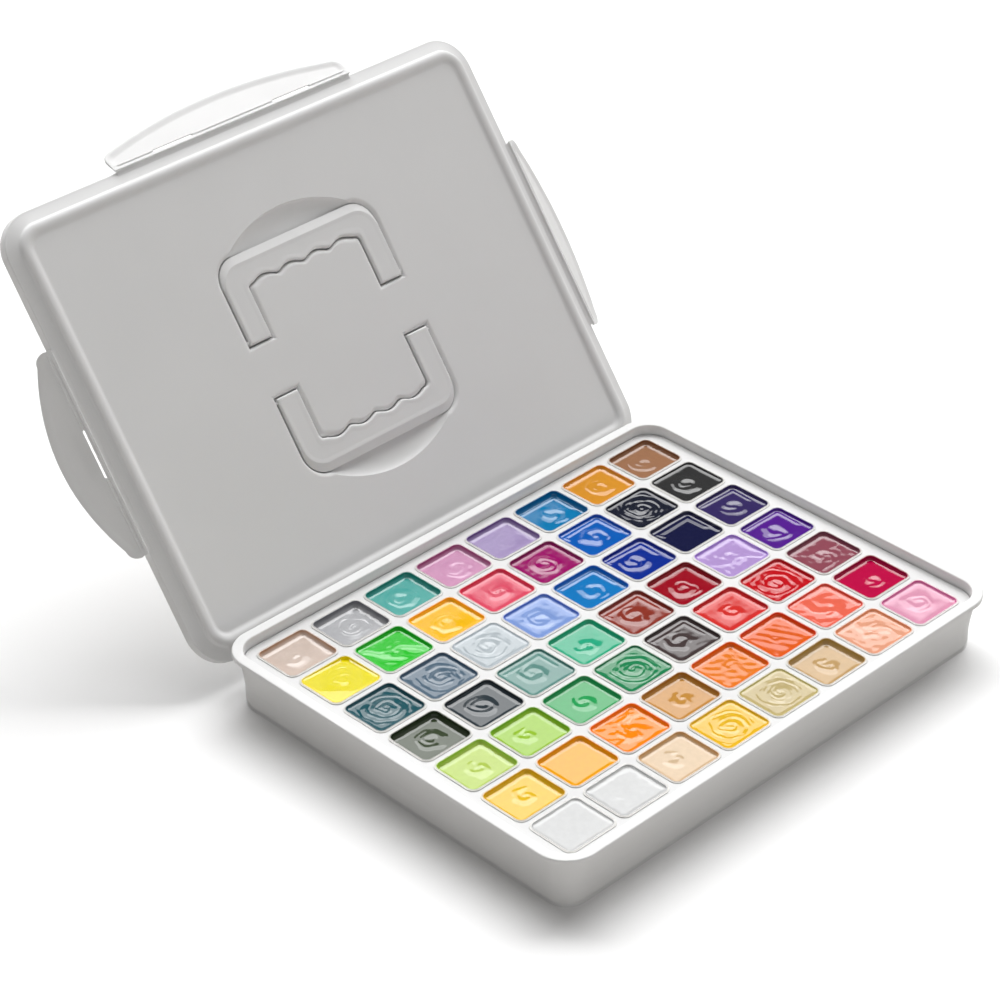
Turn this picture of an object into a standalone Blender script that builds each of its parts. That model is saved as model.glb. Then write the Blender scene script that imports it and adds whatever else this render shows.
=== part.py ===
"""Gouache paint set box: a tray of filled paint cups, and its lift-off lid leaning open behind it.

All lengths are metres. The origin is the middle of the tray's underside, +X runs along the long
side, +Y runs back towards the lid and +Z is up. The lid's pieces are drawn in the lid's own frame,
flat, with its middle at the origin and its outer face looking up, and are then leaned back.
"""

import math

import bmesh
import bpy
from mathutils import Matrix, Vector

# Gaps between pieces.
SEAT_GAP = 0.0003
HOLE_CLEARANCE = 0.0003
LID_CLEARANCE = 0.0005
WELL_CLEARANCE = 0.0005
WELL_END_CLEARANCE = 0.0008
PIVOT_CLEARANCE = 0.00015

# The whole tray.
TRAY_LENGTH = 0.3828
TRAY_WIDTH = 0.2977
TRAY_HEIGHT = 0.0397

# Paint cups.
CUPS_ALONG = 8
CUPS_ACROSS = 7
CUPS_IN_PAIR = 2
RACK_BAR_X = 0.0050
RACK_BAR_Y = 0.00465
CUP_CORNER = 0.0048
CUP_TAPER = 0.0022
CUP_FLOOR_GAP = 0.0023
CUP_WALL = 0.0008
FLANGE_REACH = 0.0009
FLANGE_THICKNESS = 0.0007
PAINT_SINK = 0.0024

# Tray shell and the rack that the cups hang in.
MOUTH_SINK = 0.0062
DECK_MARGIN_X = 0.0083
DECK_MARGIN_Y = 0.0054
DECK_THICKNESS = 0.0016
RIM_WIDTH = 0.0071
RIM_CORNER = 0.0226
RIM_SIDE = 0.0030
RIM_EDGE = 0.0006
COVE_HEIGHT = 0.0050
WALL_INSET = 0.0048
WALL_DRAFT = 0.0008
BASE_EDGE = 0.0012
FLOOR_THICKNESS = 0.0022
LEDGE_WIDTH = 0.0026
LEDGE_THICKNESS = 0.0030

# Lid shell.
LEAN_BACK = math.radians(53.2)
LID_BEHIND_TRAY = 0.0014
SKIRT_WALL = 0.0019
SKIRT_DROP = 0.0130
SKIRT_TOP_DROP = 0.0058
SKIRT_EDGE = 0.0008
SHOULDER_INSET = 0.0024
SHOULDER_DROP = 0.0050
CREST_INSET = 0.0075
FACE_INSET = 0.0155
FACE_SINK = 0.0020
PLATE_THICKNESS = 0.0020
RIM_SEAT_DROP = 0.0080
LAND_WIDTH = 0.0033
GROOVE_ROOF = 0.0024
INNER_RIB_WALL = 0.0015
INNER_RIB_DROP = 0.0120
GASKET_PROUD = 0.0002

# Carrying handles and the wells that they lie in.
HANDLE_SPAN = 0.1300
HANDLE_THICKNESS = 0.0050
HANDLE_PROUD = 0.0004
HANDLE_CORNER = 0.0160
HANDLE_EDGE = 0.0015
LEG_WIDTH = 0.0175
LEG_END = 0.0185
GRIP_REACH = 0.0745
GRIP_WIDTH = 0.0205
GRIP_BEVEL = 0.0055
GRIP_INNER_CORNER = 0.0035
FINGERS = 4
FINGER_DIP = 0.0028
STUB_RADIUS = 0.0012
STUB_LENGTH = 0.0025
STUB_END_GAP = 0.0006
STUB_ROOT = 0.0010
BOSS_HALF = 0.0045
BOSS_WALL = 0.0018
BOSS_BOTTOM = 0.0035
WELL_WALL = 0.0013
WELL_FLOOR = 0.0012
SCOOP_RADIUS = 0.0920
SCOOP_CHORD = 0.0660
SCOOP_DEPTH = 0.0044
SCOOP_SLOPE = 0.0110
CUT_PAST = 0.0010
SAME_PLACE = 0.0001

# Latches.
LATCH_THICKNESS = 0.0016
LATCH_REACH = 0.0262
LATCH_DROP = 0.0050
LATCH_LIP = 0.0004
LATCH_LIP_WIDTH = 0.0035
LATCH_ROOT_BAND = 0.0007
LATCH_HIP = 0.0015
LATCH_HIP_START = 0.0050
LATCH_HIP_END = 0.0075
LATCH_CORNER = 0.0090
LONG_LATCH = 0.1970
SHORT_LATCH = 0.1370
LATCH_SHOULDER_DROP = 0.0085
LATCH_CROWN_POWER = 1.7
LATCH_OPEN = math.radians(56.0)
SLOT_LENGTH = 0.0320
SLOT_START = 0.0014
SLOT_WIDTH = 0.0036
LONG_SLOT_OFFSET = 0.0495
CATCH_GAP = 0.0004
CATCH_HEIGHT = 0.0042
CATCH_TOP_WIDTH = 0.0018
CATCH_SLOPE = 0.0020
CATCH_ROOT = 0.0004
LATCH_FLOOR_GAP = 0.0003

# How finely round shapes are drawn.
CORNER_STEPS = 6
CUP_CORNER_STEPS = 1
SHOULDER_STEPS = 4
SLOPE_STEPS = 3
HANDLE_CORNER_STEPS = 4
HANDLE_END_STEPS = 3
HANDLE_EDGE_STEPS = 2
FINGER_STEPS = 4
SCOOP_STEPS = 3
SCOOP_ARC_STEPS = 10
STUB_SIDES = 12
CROWN_STEPS = 6
LATCH_CORNER_STEPS = 3
SHARP_ANGLE = math.radians(32.0)
QUARTER_TURN = math.radians(90.0)

# Sizes that follow from the ones above.
TRAY_HALF_X = TRAY_LENGTH / 2
TRAY_HALF_Y = TRAY_WIDTH / 2
CUP_PITCH_X = 2 * (TRAY_HALF_X - RIM_WIDTH - DECK_MARGIN_X) / CUPS_ALONG
CUP_PITCH_Y = 2 * (TRAY_HALF_Y - RIM_WIDTH - DECK_MARGIN_Y) / CUPS_ACROSS
CUP_LENGTH = CUP_PITCH_X - RACK_BAR_X
CUP_WIDTH = CUP_PITCH_Y - RACK_BAR_Y
MOUTH_Z = TRAY_HEIGHT - MOUTH_SINK
CUP_DEPTH = MOUTH_Z - FLOOR_THICKNESS - CUP_FLOOR_GAP
DECK_TOP = MOUTH_Z - FLANGE_THICKNESS - SEAT_GAP
LEDGE_Z = DECK_TOP - DECK_THICKNESS - SEAT_GAP
LID_GROWTH = SKIRT_WALL + LID_CLEARANCE
LID_HALF_X = TRAY_HALF_X + LID_GROWTH
LID_HALF_Y = TRAY_HALF_Y + LID_GROWTH
LID_CORNER = RIM_CORNER + LID_GROWTH
HALF_THICK = HANDLE_THICKNESS / 2
PIVOT_Y = LEG_END + HALF_THICK
PIVOT_Z = HANDLE_PROUD - FACE_SINK - HALF_THICK
WELL_FLOOR_Z = PIVOT_Z - HALF_THICK - SEAT_GAP
LATCH_HALF_THICK = LATCH_THICKNESS / 2
LATCH_AXIS_OUT = SEAT_GAP + LATCH_HALF_THICK

PLASTIC = (0.83, 0.83, 0.82)
LATCH_PLASTIC = (0.86, 0.86, 0.86)
SEAL = (0.75, 0.75, 0.73)
CUP_PLASTIC = (0.78, 0.78, 0.76)

# Paint colours by name, linear red, green and blue.
PAINTS = {
    "white": (0.82, 0.82, 0.80),
    "cream": (0.80, 0.62, 0.38),
    "beige": (0.74, 0.52, 0.30),
    "khaki": (0.66, 0.58, 0.30),
    "tan": (0.66, 0.40, 0.16),
    "ochre": (0.66, 0.35, 0.03),
    "copper": (0.32, 0.16, 0.08),
    "umber": (0.12, 0.06, 0.05),
    "sand": (0.52, 0.40, 0.34),
    "silver": (0.40, 0.41, 0.42),
    "peach": (0.88, 0.40, 0.22),
    "pink": (0.90, 0.35, 0.50),
    "orchid": (0.60, 0.28, 0.45),
    "rose": (0.80, 0.08, 0.16),
    "coral": (0.85, 0.12, 0.08),
    "red": (0.75, 0.03, 0.03),
    "scarlet": (0.82, 0.10, 0.06),
    "crimson": (0.55, 0.01, 0.09),
    "maroon": (0.25, 0.04, 0.03),
    "mauve": (0.24, 0.06, 0.08),
    "magenta": (0.38, 0.02, 0.18),
    "lemon": (0.95, 0.88, 0.02),
    "yellow": (0.90, 0.68, 0.05),
    "gold": (0.92, 0.52, 0.02),
    "amber": (0.95, 0.50, 0.02),
    "orange": (0.92, 0.24, 0.02),
    "lime": (0.58, 0.80, 0.20),
    "green": (0.05, 0.50, 0.06),
    "mint": (0.08, 0.48, 0.28),
    "emerald": (0.02, 0.32, 0.16),
    "teal": (0.03, 0.30, 0.22),
    "sea_green": (0.12, 0.30, 0.26),
    "dark_green": (0.02, 0.14, 0.09),
    "deep_teal": (0.03, 0.11, 0.14),
    "slate": (0.08, 0.14, 0.20),
    "charcoal": (0.05, 0.09, 0.11),
    "ice": (0.55, 0.65, 0.70),
    "periwinkle": (0.22, 0.32, 0.72),
    "azure": (0.05, 0.28, 0.75),
    "cerulean": (0.02, 0.26, 0.62),
    "blue": (0.01, 0.12, 0.60),
    "ultramarine": (0.01, 0.05, 0.42),
    "navy": (0.01, 0.02, 0.08),
    "indigo": (0.05, 0.03, 0.14),
    "violet": (0.14, 0.04, 0.45),
    "lilac": (0.42, 0.30, 0.72),
    "lavender": (0.38, 0.28, 0.55),
    "black": (0.02, 0.02, 0.03),
}

# The cups' paints from the front row to the row by the lid, left to right.
PAINT_ROWS = (
    ("white", "white", "cream", "yellow", "khaki", "beige", "peach", "pink"),
    ("yellow", "amber", "orange", "tan", "orange", "scarlet", "coral", "crimson"),
    ("lime", "lime", "emerald", "dark_green", "umber", "scarlet", "red", "mauve"),
    ("charcoal", "charcoal", "sea_green", "mint", "maroon", "crimson", "lilac", "violet"),
    ("deep_teal", "slate", "ice", "periwinkle", "azure", "ultramarine", "navy", "indigo"),
    ("lemon", "green", "gold", "rose", "magenta", "blue", "navy", "black"),
    ("sand", "silver", "teal", "orchid", "lavender", "cerulean", "ochre", "copper"),
)


def clear_scene():
    for obj in list(bpy.data.objects):
        bpy.data.objects.remove(obj)


def material(name, colour, roughness):
    made = bpy.data.materials.new(name)
    made.use_nodes = True
    shader = made.node_tree.nodes["Principled BSDF"]
    shader.inputs["Base Color"].default_value = (*colour, 1)
    shader.inputs["Roughness"].default_value = roughness
    shader.inputs["Metallic"].default_value = 0
    return made


def rounded_rectangle(half_x, half_y, corner, steps):
    """Corner points anticlockwise from the right-hand side."""
    points = []
    for quarter in range(4):
        side_x = 1 if quarter in (0, 3) else -1
        side_y = 1 if quarter in (0, 1) else -1
        for step in range(steps + 1):
            angle = QUARTER_TURN * (quarter + step / steps)
            x = side_x * (half_x - corner) + corner * math.cos(angle)
            y = side_y * (half_y - corner) + corner * math.sin(angle)
            points.append((x, y))
    return points


def at_height(outline, z):
    return [(x, y, z) for x, y in outline]


def add_stack(mesh, rings, closed=False):
    """Adds a closed skin through rings of equal length: capped at both ends, or joined end to end."""
    loops = [[mesh.verts.new(point) for point in ring] for ring in rings]
    count = len(loops[0])
    following = loops[1:] + ([loops[0]] if closed else [])
    for low, high in zip(loops, following):
        for i in range(count):
            j = (i + 1) % count
            mesh.faces.new((low[i], low[j], high[j], high[i]))
    if not closed:
        mesh.faces.new(list(reversed(loops[0])))
        mesh.faces.new(loops[-1])


def mesh_object(name, mesh, *materials):
    bmesh.ops.recalc_face_normals(mesh, faces=mesh.faces)
    data = bpy.data.meshes.new(name)
    mesh.to_mesh(data)
    mesh.free()
    for entry in materials:
        data.materials.append(entry)
    obj = bpy.data.objects.new(name, data)
    bpy.context.scene.collection.objects.link(obj)
    return obj


def solid(name, stacks, *materials, closed=False):
    mesh = bmesh.new()
    for rings in stacks:
        add_stack(mesh, rings, closed)
    return mesh_object(name, mesh, *materials)


def combine(target, other, operation):
    """Cuts the other body from the target, or joins it on, and drops the other body."""
    modifier = target.modifiers.new(operation, "BOOLEAN")
    modifier.operation = operation
    modifier.solver = "EXACT"
    modifier.object = other
    graph = bpy.context.evaluated_depsgraph_get()
    made = bpy.data.meshes.new_from_object(target.evaluated_get(graph))
    target.modifiers.clear()
    target.data = made
    bpy.data.objects.remove(other)


def smooth(obj):
    obj.data.shade_smooth()
    obj.data.set_sharp_from_angle(angle=SHARP_ANGLE)


def tray_ring(inset, z):
    corner = RIM_CORNER - inset
    outline = rounded_rectangle(TRAY_HALF_X - inset, TRAY_HALF_Y - inset, corner, CORNER_STEPS)
    return at_height(outline, z)


def build_tray_shell():
    ledge_inset = RIM_WIDTH + LEDGE_WIDTH
    base_inset = WALL_INSET + WALL_DRAFT
    profile = [
        (base_inset + BASE_EDGE, 0),
        (base_inset, BASE_EDGE),
        (WALL_INSET, TRAY_HEIGHT - RIM_SIDE - COVE_HEIGHT),
        (0, TRAY_HEIGHT - RIM_SIDE),
        (0, TRAY_HEIGHT - RIM_EDGE),
        (RIM_EDGE, TRAY_HEIGHT),
        (RIM_WIDTH - RIM_EDGE, TRAY_HEIGHT),
        (RIM_WIDTH, TRAY_HEIGHT - RIM_EDGE),
        (RIM_WIDTH, LEDGE_Z),
        (ledge_inset, LEDGE_Z),
        (ledge_inset, LEDGE_Z - LEDGE_THICKNESS),
        (RIM_WIDTH, LEDGE_Z - LEDGE_THICKNESS - LEDGE_WIDTH),
        (RIM_WIDTH, FLOOR_THICKNESS + BASE_EDGE),
        (RIM_WIDTH + BASE_EDGE, FLOOR_THICKNESS),
    ]
    rings = [tray_ring(inset, z) for inset, z in profile]
    smooth(solid("tray_shell", [rings], material("tray_shell", PLASTIC, 0.35)))


def cup_centre(column, row):
    x = (column - (CUPS_ALONG - 1) / 2) * CUP_PITCH_X
    y = (row - (CUPS_ACROSS - 1) / 2) * CUP_PITCH_Y
    return x, y


def cup_outline(grow, centre_x=0, centre_y=0):
    half_x = CUP_LENGTH / 2 + grow
    half_y = CUP_WIDTH / 2 + grow
    outline = rounded_rectangle(half_x, half_y, CUP_CORNER + grow, CUP_CORNER_STEPS)
    return [(x + centre_x, y + centre_y) for x, y in outline]


def build_cup_rack():
    edge = RIM_WIDTH + SEAT_GAP
    deck_bottom = DECK_TOP - DECK_THICKNESS
    plate = [tray_ring(edge, deck_bottom), tray_ring(edge, DECK_TOP)]
    rack = solid("cup_rack", [plate], material("cup_rack", PLASTIC, 0.35))
    holes = []
    for column in range(CUPS_ALONG):
        for row in range(CUPS_ACROSS):
            outline = cup_outline(HOLE_CLEARANCE, *cup_centre(column, row))
            low = at_height(outline, deck_bottom - CUT_PAST)
            high = at_height(outline, DECK_TOP + CUT_PAST)
            holes.append([low, high])
    combine(rack, solid("rack_holes", holes), "DIFFERENCE")


def cup_rings(centre_x):
    """One cup filled with paint, from its base up over the flange and down to the paint."""
    profile = [
        (-CUP_TAPER, -CUP_DEPTH),
        (0, -FLANGE_THICKNESS),
        (FLANGE_REACH, -FLANGE_THICKNESS),
        (FLANGE_REACH, 0),
        (-CUP_WALL, 0),
        (-CUP_WALL, -PAINT_SINK),
    ]
    return [at_height(cup_outline(grow, centre_x), z) for grow, z in profile]


def flange_side(mesh, x):
    """The flat side face of a flange that stands at this x."""
    sides = [face for face in mesh.faces if all(abs(v.co.x - x) < SAME_PLACE for v in face.verts)]
    return sides[0]


def join_facing_sides(mesh, left_x, right_x):
    """Opens the two flange sides that face each other and runs a thin web between them."""
    left = flange_side(mesh, left_x)
    right = flange_side(mesh, right_x)
    edges = list(left.edges) + list(right.edges)
    bmesh.ops.delete(mesh, geom=[left, right], context="FACES_ONLY")
    bmesh.ops.bridge_loops(mesh, edges=edges)


def cup_pair_mesh():
    mesh = bmesh.new()
    half_pitch = CUP_PITCH_X / 2
    for centre_x in (-half_pitch, half_pitch):
        add_stack(mesh, cup_rings(centre_x))
    bmesh.ops.recalc_face_normals(mesh, faces=mesh.faces)
    reach = CUP_LENGTH / 2 + FLANGE_REACH
    join_facing_sides(mesh, reach - half_pitch, half_pitch - reach)
    bmesh.ops.recalc_face_normals(mesh, faces=mesh.faces)
    paint_z = -PAINT_SINK
    for face in mesh.faces:
        if all(abs(v.co.z - paint_z) < SAME_PLACE for v in face.verts):
            face.material_index = 1 if face.calc_center_median().x < 0 else 2
    data = bpy.data.meshes.new("cup_pair")
    mesh.to_mesh(data)
    mesh.free()
    return data


def build_cup_pairs():
    data = cup_pair_mesh()
    cup = material("cup", CUP_PLASTIC, 0.25)
    paints = {name: material("paint_" + name, colour, 0.2) for name, colour in PAINTS.items()}
    for entry in (cup, paints["white"], paints["white"]):
        data.materials.append(entry)
    for row in range(CUPS_ACROSS):
        names = PAINT_ROWS[row % len(PAINT_ROWS)]
        for pair in range(CUPS_ALONG // CUPS_IN_PAIR):
            first = pair * CUPS_IN_PAIR % len(names)
            obj = bpy.data.objects.new(f"cup_pair_r{row + 1}_c{pair + 1}", data)
            bpy.context.scene.collection.objects.link(obj)
            for slot, name in zip(obj.material_slots[1:], names[first : first + CUPS_IN_PAIR]):
                slot.link = "OBJECT"
                slot.material = paints[name]
            x, y = cup_centre(pair * CUPS_IN_PAIR + (CUPS_IN_PAIR - 1) / 2, row)
            obj.location = (x, y, MOUTH_Z)


def lid_ring(inset, drop):
    corner = LID_CORNER - inset
    outline = rounded_rectangle(LID_HALF_X - inset, LID_HALF_Y - inset, corner, CORNER_STEPS)
    return at_height(outline, -drop)


def lid_profile():
    """The lid's wall as inset from its outline and drop below its crest, from underside to face."""
    rib_outer = LID_GROWTH + RIM_WIDTH + LID_CLEARANCE
    rib_inner = rib_outer + INNER_RIB_WALL
    land_inner = SKIRT_WALL + LAND_WIDTH
    land_drop = RIM_SEAT_DROP - SEAT_GAP
    profile = [
        (rib_inner, FACE_SINK + PLATE_THICKNESS),
        (rib_inner, INNER_RIB_DROP),
        (rib_outer, INNER_RIB_DROP),
        (rib_outer, GROOVE_ROOF),
        (land_inner, GROOVE_ROOF),
        (land_inner, land_drop),
        (SKIRT_WALL, land_drop),
        (SKIRT_WALL, SKIRT_DROP),
        (0, SKIRT_DROP),
        (0, SKIRT_TOP_DROP),
        (SKIRT_EDGE, SHOULDER_DROP),
    ]
    for step in range(SHOULDER_STEPS + 1):
        angle = QUARTER_TURN * step / SHOULDER_STEPS
        inset = CREST_INSET - (CREST_INSET - SHOULDER_INSET) * math.cos(angle)
        profile.append((inset, SHOULDER_DROP * (1 - math.sin(angle))))
    for step in range(1, SLOPE_STEPS + 1):
        share = step / SLOPE_STEPS
        inset = CREST_INSET + (FACE_INSET - CREST_INSET) * share
        profile.append((inset, FACE_SINK * (1 - math.cos(math.pi * share)) / 2))
    return profile


def handle_outline(grow, end_shift, grip_inset=0):
    """A handle's outline in the lid's plane, grown on all sides, legs towards the lid's middle."""
    half = HANDLE_SPAN / 2 + grow
    inner = HANDLE_SPAN / 2 - LEG_WIDTH - grow
    leg_end = LEG_END + end_shift
    grip_outer = GRIP_REACH + grow - grip_inset
    cusp_y = GRIP_REACH - GRIP_WIDTH - grow
    points = [(half, leg_end)]
    for side in (1, -1):
        for step in range(HANDLE_CORNER_STEPS + 1):
            turn = step if side == 1 else HANDLE_CORNER_STEPS - step
            angle = QUARTER_TURN * turn / HANDLE_CORNER_STEPS
            x = half - HANDLE_CORNER + HANDLE_CORNER * math.cos(angle)
            y = grip_outer - HANDLE_CORNER + HANDLE_CORNER * math.sin(angle)
            points.append((side * x, y))
    points.append((-half, leg_end))
    points.append((-inner, leg_end))
    points.append((-inner, cusp_y - GRIP_INNER_CORNER))
    fingers_half = inner - GRIP_INNER_CORNER
    pitch = 2 * fingers_half / FINGERS
    for finger in range(FINGERS):
        for step in range(FINGER_STEPS):
            x = -fingers_half + pitch * (finger + step / FINGER_STEPS)
            dip = FINGER_DIP * math.sin(math.pi * step / FINGER_STEPS)
            points.append((x, cusp_y + dip))
    points.append((fingers_half, cusp_y))
    points.append((inner, cusp_y - GRIP_INNER_CORNER))
    points.append((inner, leg_end))
    return points


def both_ways(rings):
    """The rings, and the same turned half round the lid's middle."""
    return [rings, [[(-x, -y, z) for x, y, z in ring] for ring in rings]]


def well_prism(grow, end_shift, low, high):
    outline = handle_outline(grow, end_shift)
    return both_ways([at_height(outline, low), at_height(outline, high)])


def scoop_ring(radius, z):
    """A slice of the finger scoop: an arc about the lid's middle, closed by a chord."""
    half_angle = math.acos(SCOOP_CHORD / radius)
    ring = []
    for step in range(SCOOP_ARC_STEPS + 1):
        angle = half_angle * (1 - 2 * step / SCOOP_ARC_STEPS)
        ring.append((radius * math.sin(angle), radius * math.cos(angle), z))
    return ring


def scoop_stack(grow, top):
    """The scoop's hollow, or its outside when grown, from its floor up to the given height."""
    rings = []
    for step in range(SCOOP_STEPS + 1):
        angle = QUARTER_TURN * step / SCOOP_STEPS
        radius = SCOOP_RADIUS + grow - SCOOP_SLOPE * (1 - math.sin(angle))
        rings.append(scoop_ring(radius, -FACE_SINK - grow - SCOOP_DEPTH * math.cos(angle)))
    rings.append(scoop_ring(SCOOP_RADIUS + grow, top))
    return both_ways(rings)


def bar_x(start, length, radius, y, z):
    """A round bar along X, as two rings."""
    rings = []
    for x in (start, start + length):
        ring = []
        for side in range(STUB_SIDES):
            angle = 2 * math.pi * side / STUB_SIDES
            ring.append((x, y + radius * math.cos(angle), z + radius * math.sin(angle)))
        rings.append(ring)
    return rings


def block(low, high):
    outline = [(low[0], low[1]), (high[0], low[1]), (high[0], high[1]), (low[0], high[1])]
    return [at_height(outline, low[2]), at_height(outline, high[2])]


def mirrored(rings):
    return [[(-x, y, z) for x, y, z in ring] for ring in rings]


def boss_blocks():
    """A solid block beside each leg end, deep enough to hold the pivot hole."""
    start = HANDLE_SPAN / 2
    end = start + WELL_CLEARANCE + STUB_LENGTH + STUB_END_GAP + BOSS_WALL
    low = (start, PIVOT_Y - BOSS_HALF, PIVOT_Z - BOSS_BOTTOM)
    high = (end, PIVOT_Y + BOSS_HALF, -FACE_SINK - PLATE_THICKNESS / 2)
    rings = block(low, high)
    return both_ways(rings) + both_ways(mirrored(rings))


def pivot_holes():
    start = HANDLE_SPAN / 2 - STUB_ROOT
    length = STUB_ROOT + STUB_LENGTH + STUB_END_GAP
    rings = bar_x(start, length, STUB_RADIUS + PIVOT_CLEARANCE, PIVOT_Y, PIVOT_Z)
    return both_ways(rings) + both_ways(mirrored(rings))


def build_lid_shell(frame):
    shell_rings = [lid_ring(inset, drop) for inset, drop in lid_profile()]
    lid = solid("lid_shell", [shell_rings], material("lid_shell", PLASTIC, 0.4))
    inside_plate = -FACE_SINK - PLATE_THICKNESS / 2
    tub_grow = WELL_CLEARANCE + WELL_WALL
    tub = well_prism(tub_grow, -WELL_END_CLEARANCE - WELL_WALL, WELL_FLOOR_Z - WELL_FLOOR, inside_plate)
    combine(lid, solid("well_tubs", tub), "UNION")
    combine(lid, solid("scoop_tubs", scoop_stack(WELL_WALL, inside_plate)), "UNION")
    combine(lid, solid("pivot_bosses", boss_blocks()), "UNION")
    well = well_prism(WELL_CLEARANCE, -WELL_END_CLEARANCE, WELL_FLOOR_Z, CUT_PAST)
    combine(lid, solid("wells", well), "DIFFERENCE")
    combine(lid, solid("scoops", scoop_stack(0, CUT_PAST)), "DIFFERENCE")
    combine(lid, solid("pivot_holes", pivot_holes()), "DIFFERENCE")
    smooth(lid)
    lid.parent = frame


def build_gasket(frame):
    outer = SKIRT_WALL + LAND_WIDTH + SEAT_GAP
    inner = LID_GROWTH + RIM_WIDTH + LID_CLEARANCE - SEAT_GAP
    top = GROOVE_ROOF + SEAT_GAP
    bottom = RIM_SEAT_DROP - SEAT_GAP + GASKET_PROUD
    corners = ((outer, top), (outer, bottom), (inner, bottom), (inner, top))
    rings = [lid_ring(inset, drop) for inset, drop in corners]
    gasket = solid("lid_gasket", [rings], material("lid_gasket", SEAL, 0.6), closed=True)
    smooth(gasket)
    gasket.parent = frame


def handle_rings():
    """A handle about its pivot: leg ends round below, eased above, grip bevelled on its outer edge."""
    levels = []
    for step in range(HANDLE_END_STEPS + 1):
        angle = QUARTER_TURN * step / HANDLE_END_STEPS
        levels.append((-HALF_THICK * math.cos(angle), HALF_THICK * (1 - math.sin(angle)), 0))
    for step in range(HANDLE_EDGE_STEPS + 1):
        angle = QUARTER_TURN * step / HANDLE_EDGE_STEPS
        z = HALF_THICK - HANDLE_EDGE * (1 - math.sin(angle))
        levels.append((z, HANDLE_EDGE * (1 - math.cos(angle)), GRIP_BEVEL * math.sin(angle)))
    rings = []
    for z, pull, bevel in levels:
        ring = [(x, y - PIVOT_Y, z) for x, y in handle_outline(0, pull, bevel)]
        rings.append(ring)
    return rings


def build_handle(name, frame, turn):
    handle = solid(name, [handle_rings()], material(name, PLASTIC, 0.35))
    start = HANDLE_SPAN / 2 - STUB_ROOT
    stub = bar_x(start, STUB_ROOT + STUB_LENGTH, STUB_RADIUS, 0, 0)
    combine(handle, solid("stubs", [stub, mirrored(stub)]), "UNION")
    smooth(handle)
    handle.parent = frame
    place = Matrix.Rotation(turn, 4, "Z") @ Matrix.Translation((0, PIVOT_Y, PIVOT_Z))
    handle.matrix_local = place


def latch_outline(length, inset=0):
    """A latch seen flat, root at y = 0, as (x, y) points; inset draws in all but the root."""
    root_half = length / 2
    hip_half = root_half + LATCH_HIP - inset
    reach = LATCH_REACH - inset
    shoulder_y = LATCH_REACH - LATCH_SHOULDER_DROP - inset
    crown_half = hip_half - LATCH_CORNER
    half = [(root_half - inset, 0), (root_half - inset, LATCH_HIP_START), (hip_half, LATCH_HIP_END)]
    for step in range(1, LATCH_CORNER_STEPS):
        angle = QUARTER_TURN * step / LATCH_CORNER_STEPS
        x = crown_half + LATCH_CORNER * math.cos(angle)
        y = shoulder_y - LATCH_CORNER * (1 - math.sin(angle))
        half.append((x, y))
    for step in range(CROWN_STEPS):
        share = 1 - step / CROWN_STEPS
        y = reach - (reach - shoulder_y) * share**LATCH_CROWN_POWER
        half.append((crown_half * share, y))
    other_half = [(-x, y) for x, y in reversed(half)]
    return half + [(0, reach)] + other_half


def latch_rings(length):
    """The latch's plate: rounded root, flat inner side, and a low lip round its outer side."""
    edge = latch_outline(length)
    inner_edge = latch_outline(length, LATCH_LIP_WIDTH)
    root_out = LATCH_HALF_THICK * math.sin(QUARTER_TURN / 2)
    root_ends = (edge[0], edge[-1])
    inner_side = at_height(edge, -LATCH_HALF_THICK)
    middle = [(x, -root_out if (x, y) in root_ends else y, 0) for x, y in edge]
    lip = []
    for x, y in edge:
        rise = LATCH_LIP if y > LATCH_HIP_START else 0
        lip.append((x, y, LATCH_HALF_THICK + rise))
    panel = [(x, max(y, LATCH_ROOT_BAND), LATCH_HALF_THICK) for x, y in inner_edge]
    return [inner_side, middle, lip, panel]


def slot_centres(length):
    return (-LONG_SLOT_OFFSET, LONG_SLOT_OFFSET) if length == LONG_LATCH else (0,)


def latch_slot(centre):
    low = (centre - SLOT_LENGTH / 2, SLOT_START, -LATCH_THICKNESS)
    high = (centre + SLOT_LENGTH / 2, SLOT_START + SLOT_WIDTH, LATCH_THICKNESS)
    return block(low, high)


def latch_catch(centre):
    """The rib inside a latch that hooks under the tray's rim."""
    top = SKIRT_DROP - LATCH_DROP + CATCH_GAP
    inner = -LATCH_HALF_THICK
    tip = inner - CATCH_HEIGHT
    section = [
        (top, inner + CATCH_ROOT),
        (top, tip),
        (top + CATCH_TOP_WIDTH, tip),
        (top + CATCH_TOP_WIDTH + CATCH_SLOPE, inner + CATCH_ROOT),
    ]
    half = SLOT_LENGTH / 2
    return [[(centre + side * half, y, z) for y, z in section] for side in (-1, 1)]


def build_latch(name, frame, length, side_distance, turn, closed_angle):
    latch = solid(name, [latch_rings(length)], material(name, LATCH_PLASTIC, 0.35))
    centres = slot_centres(length)
    combine(latch, solid("slots", [latch_slot(x) for x in centres]), "DIFFERENCE")
    combine(latch, solid("catches", [latch_catch(x) for x in centres]), "UNION")
    smooth(latch)
    latch.parent = frame
    hinge = Matrix.Translation((0, side_distance + LATCH_AXIS_OUT, -LATCH_DROP))
    swing = Matrix.Rotation(-closed_angle, 4, "X")
    latch.matrix_local = Matrix.Rotation(turn, 4, "Z") @ hinge @ swing


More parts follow.
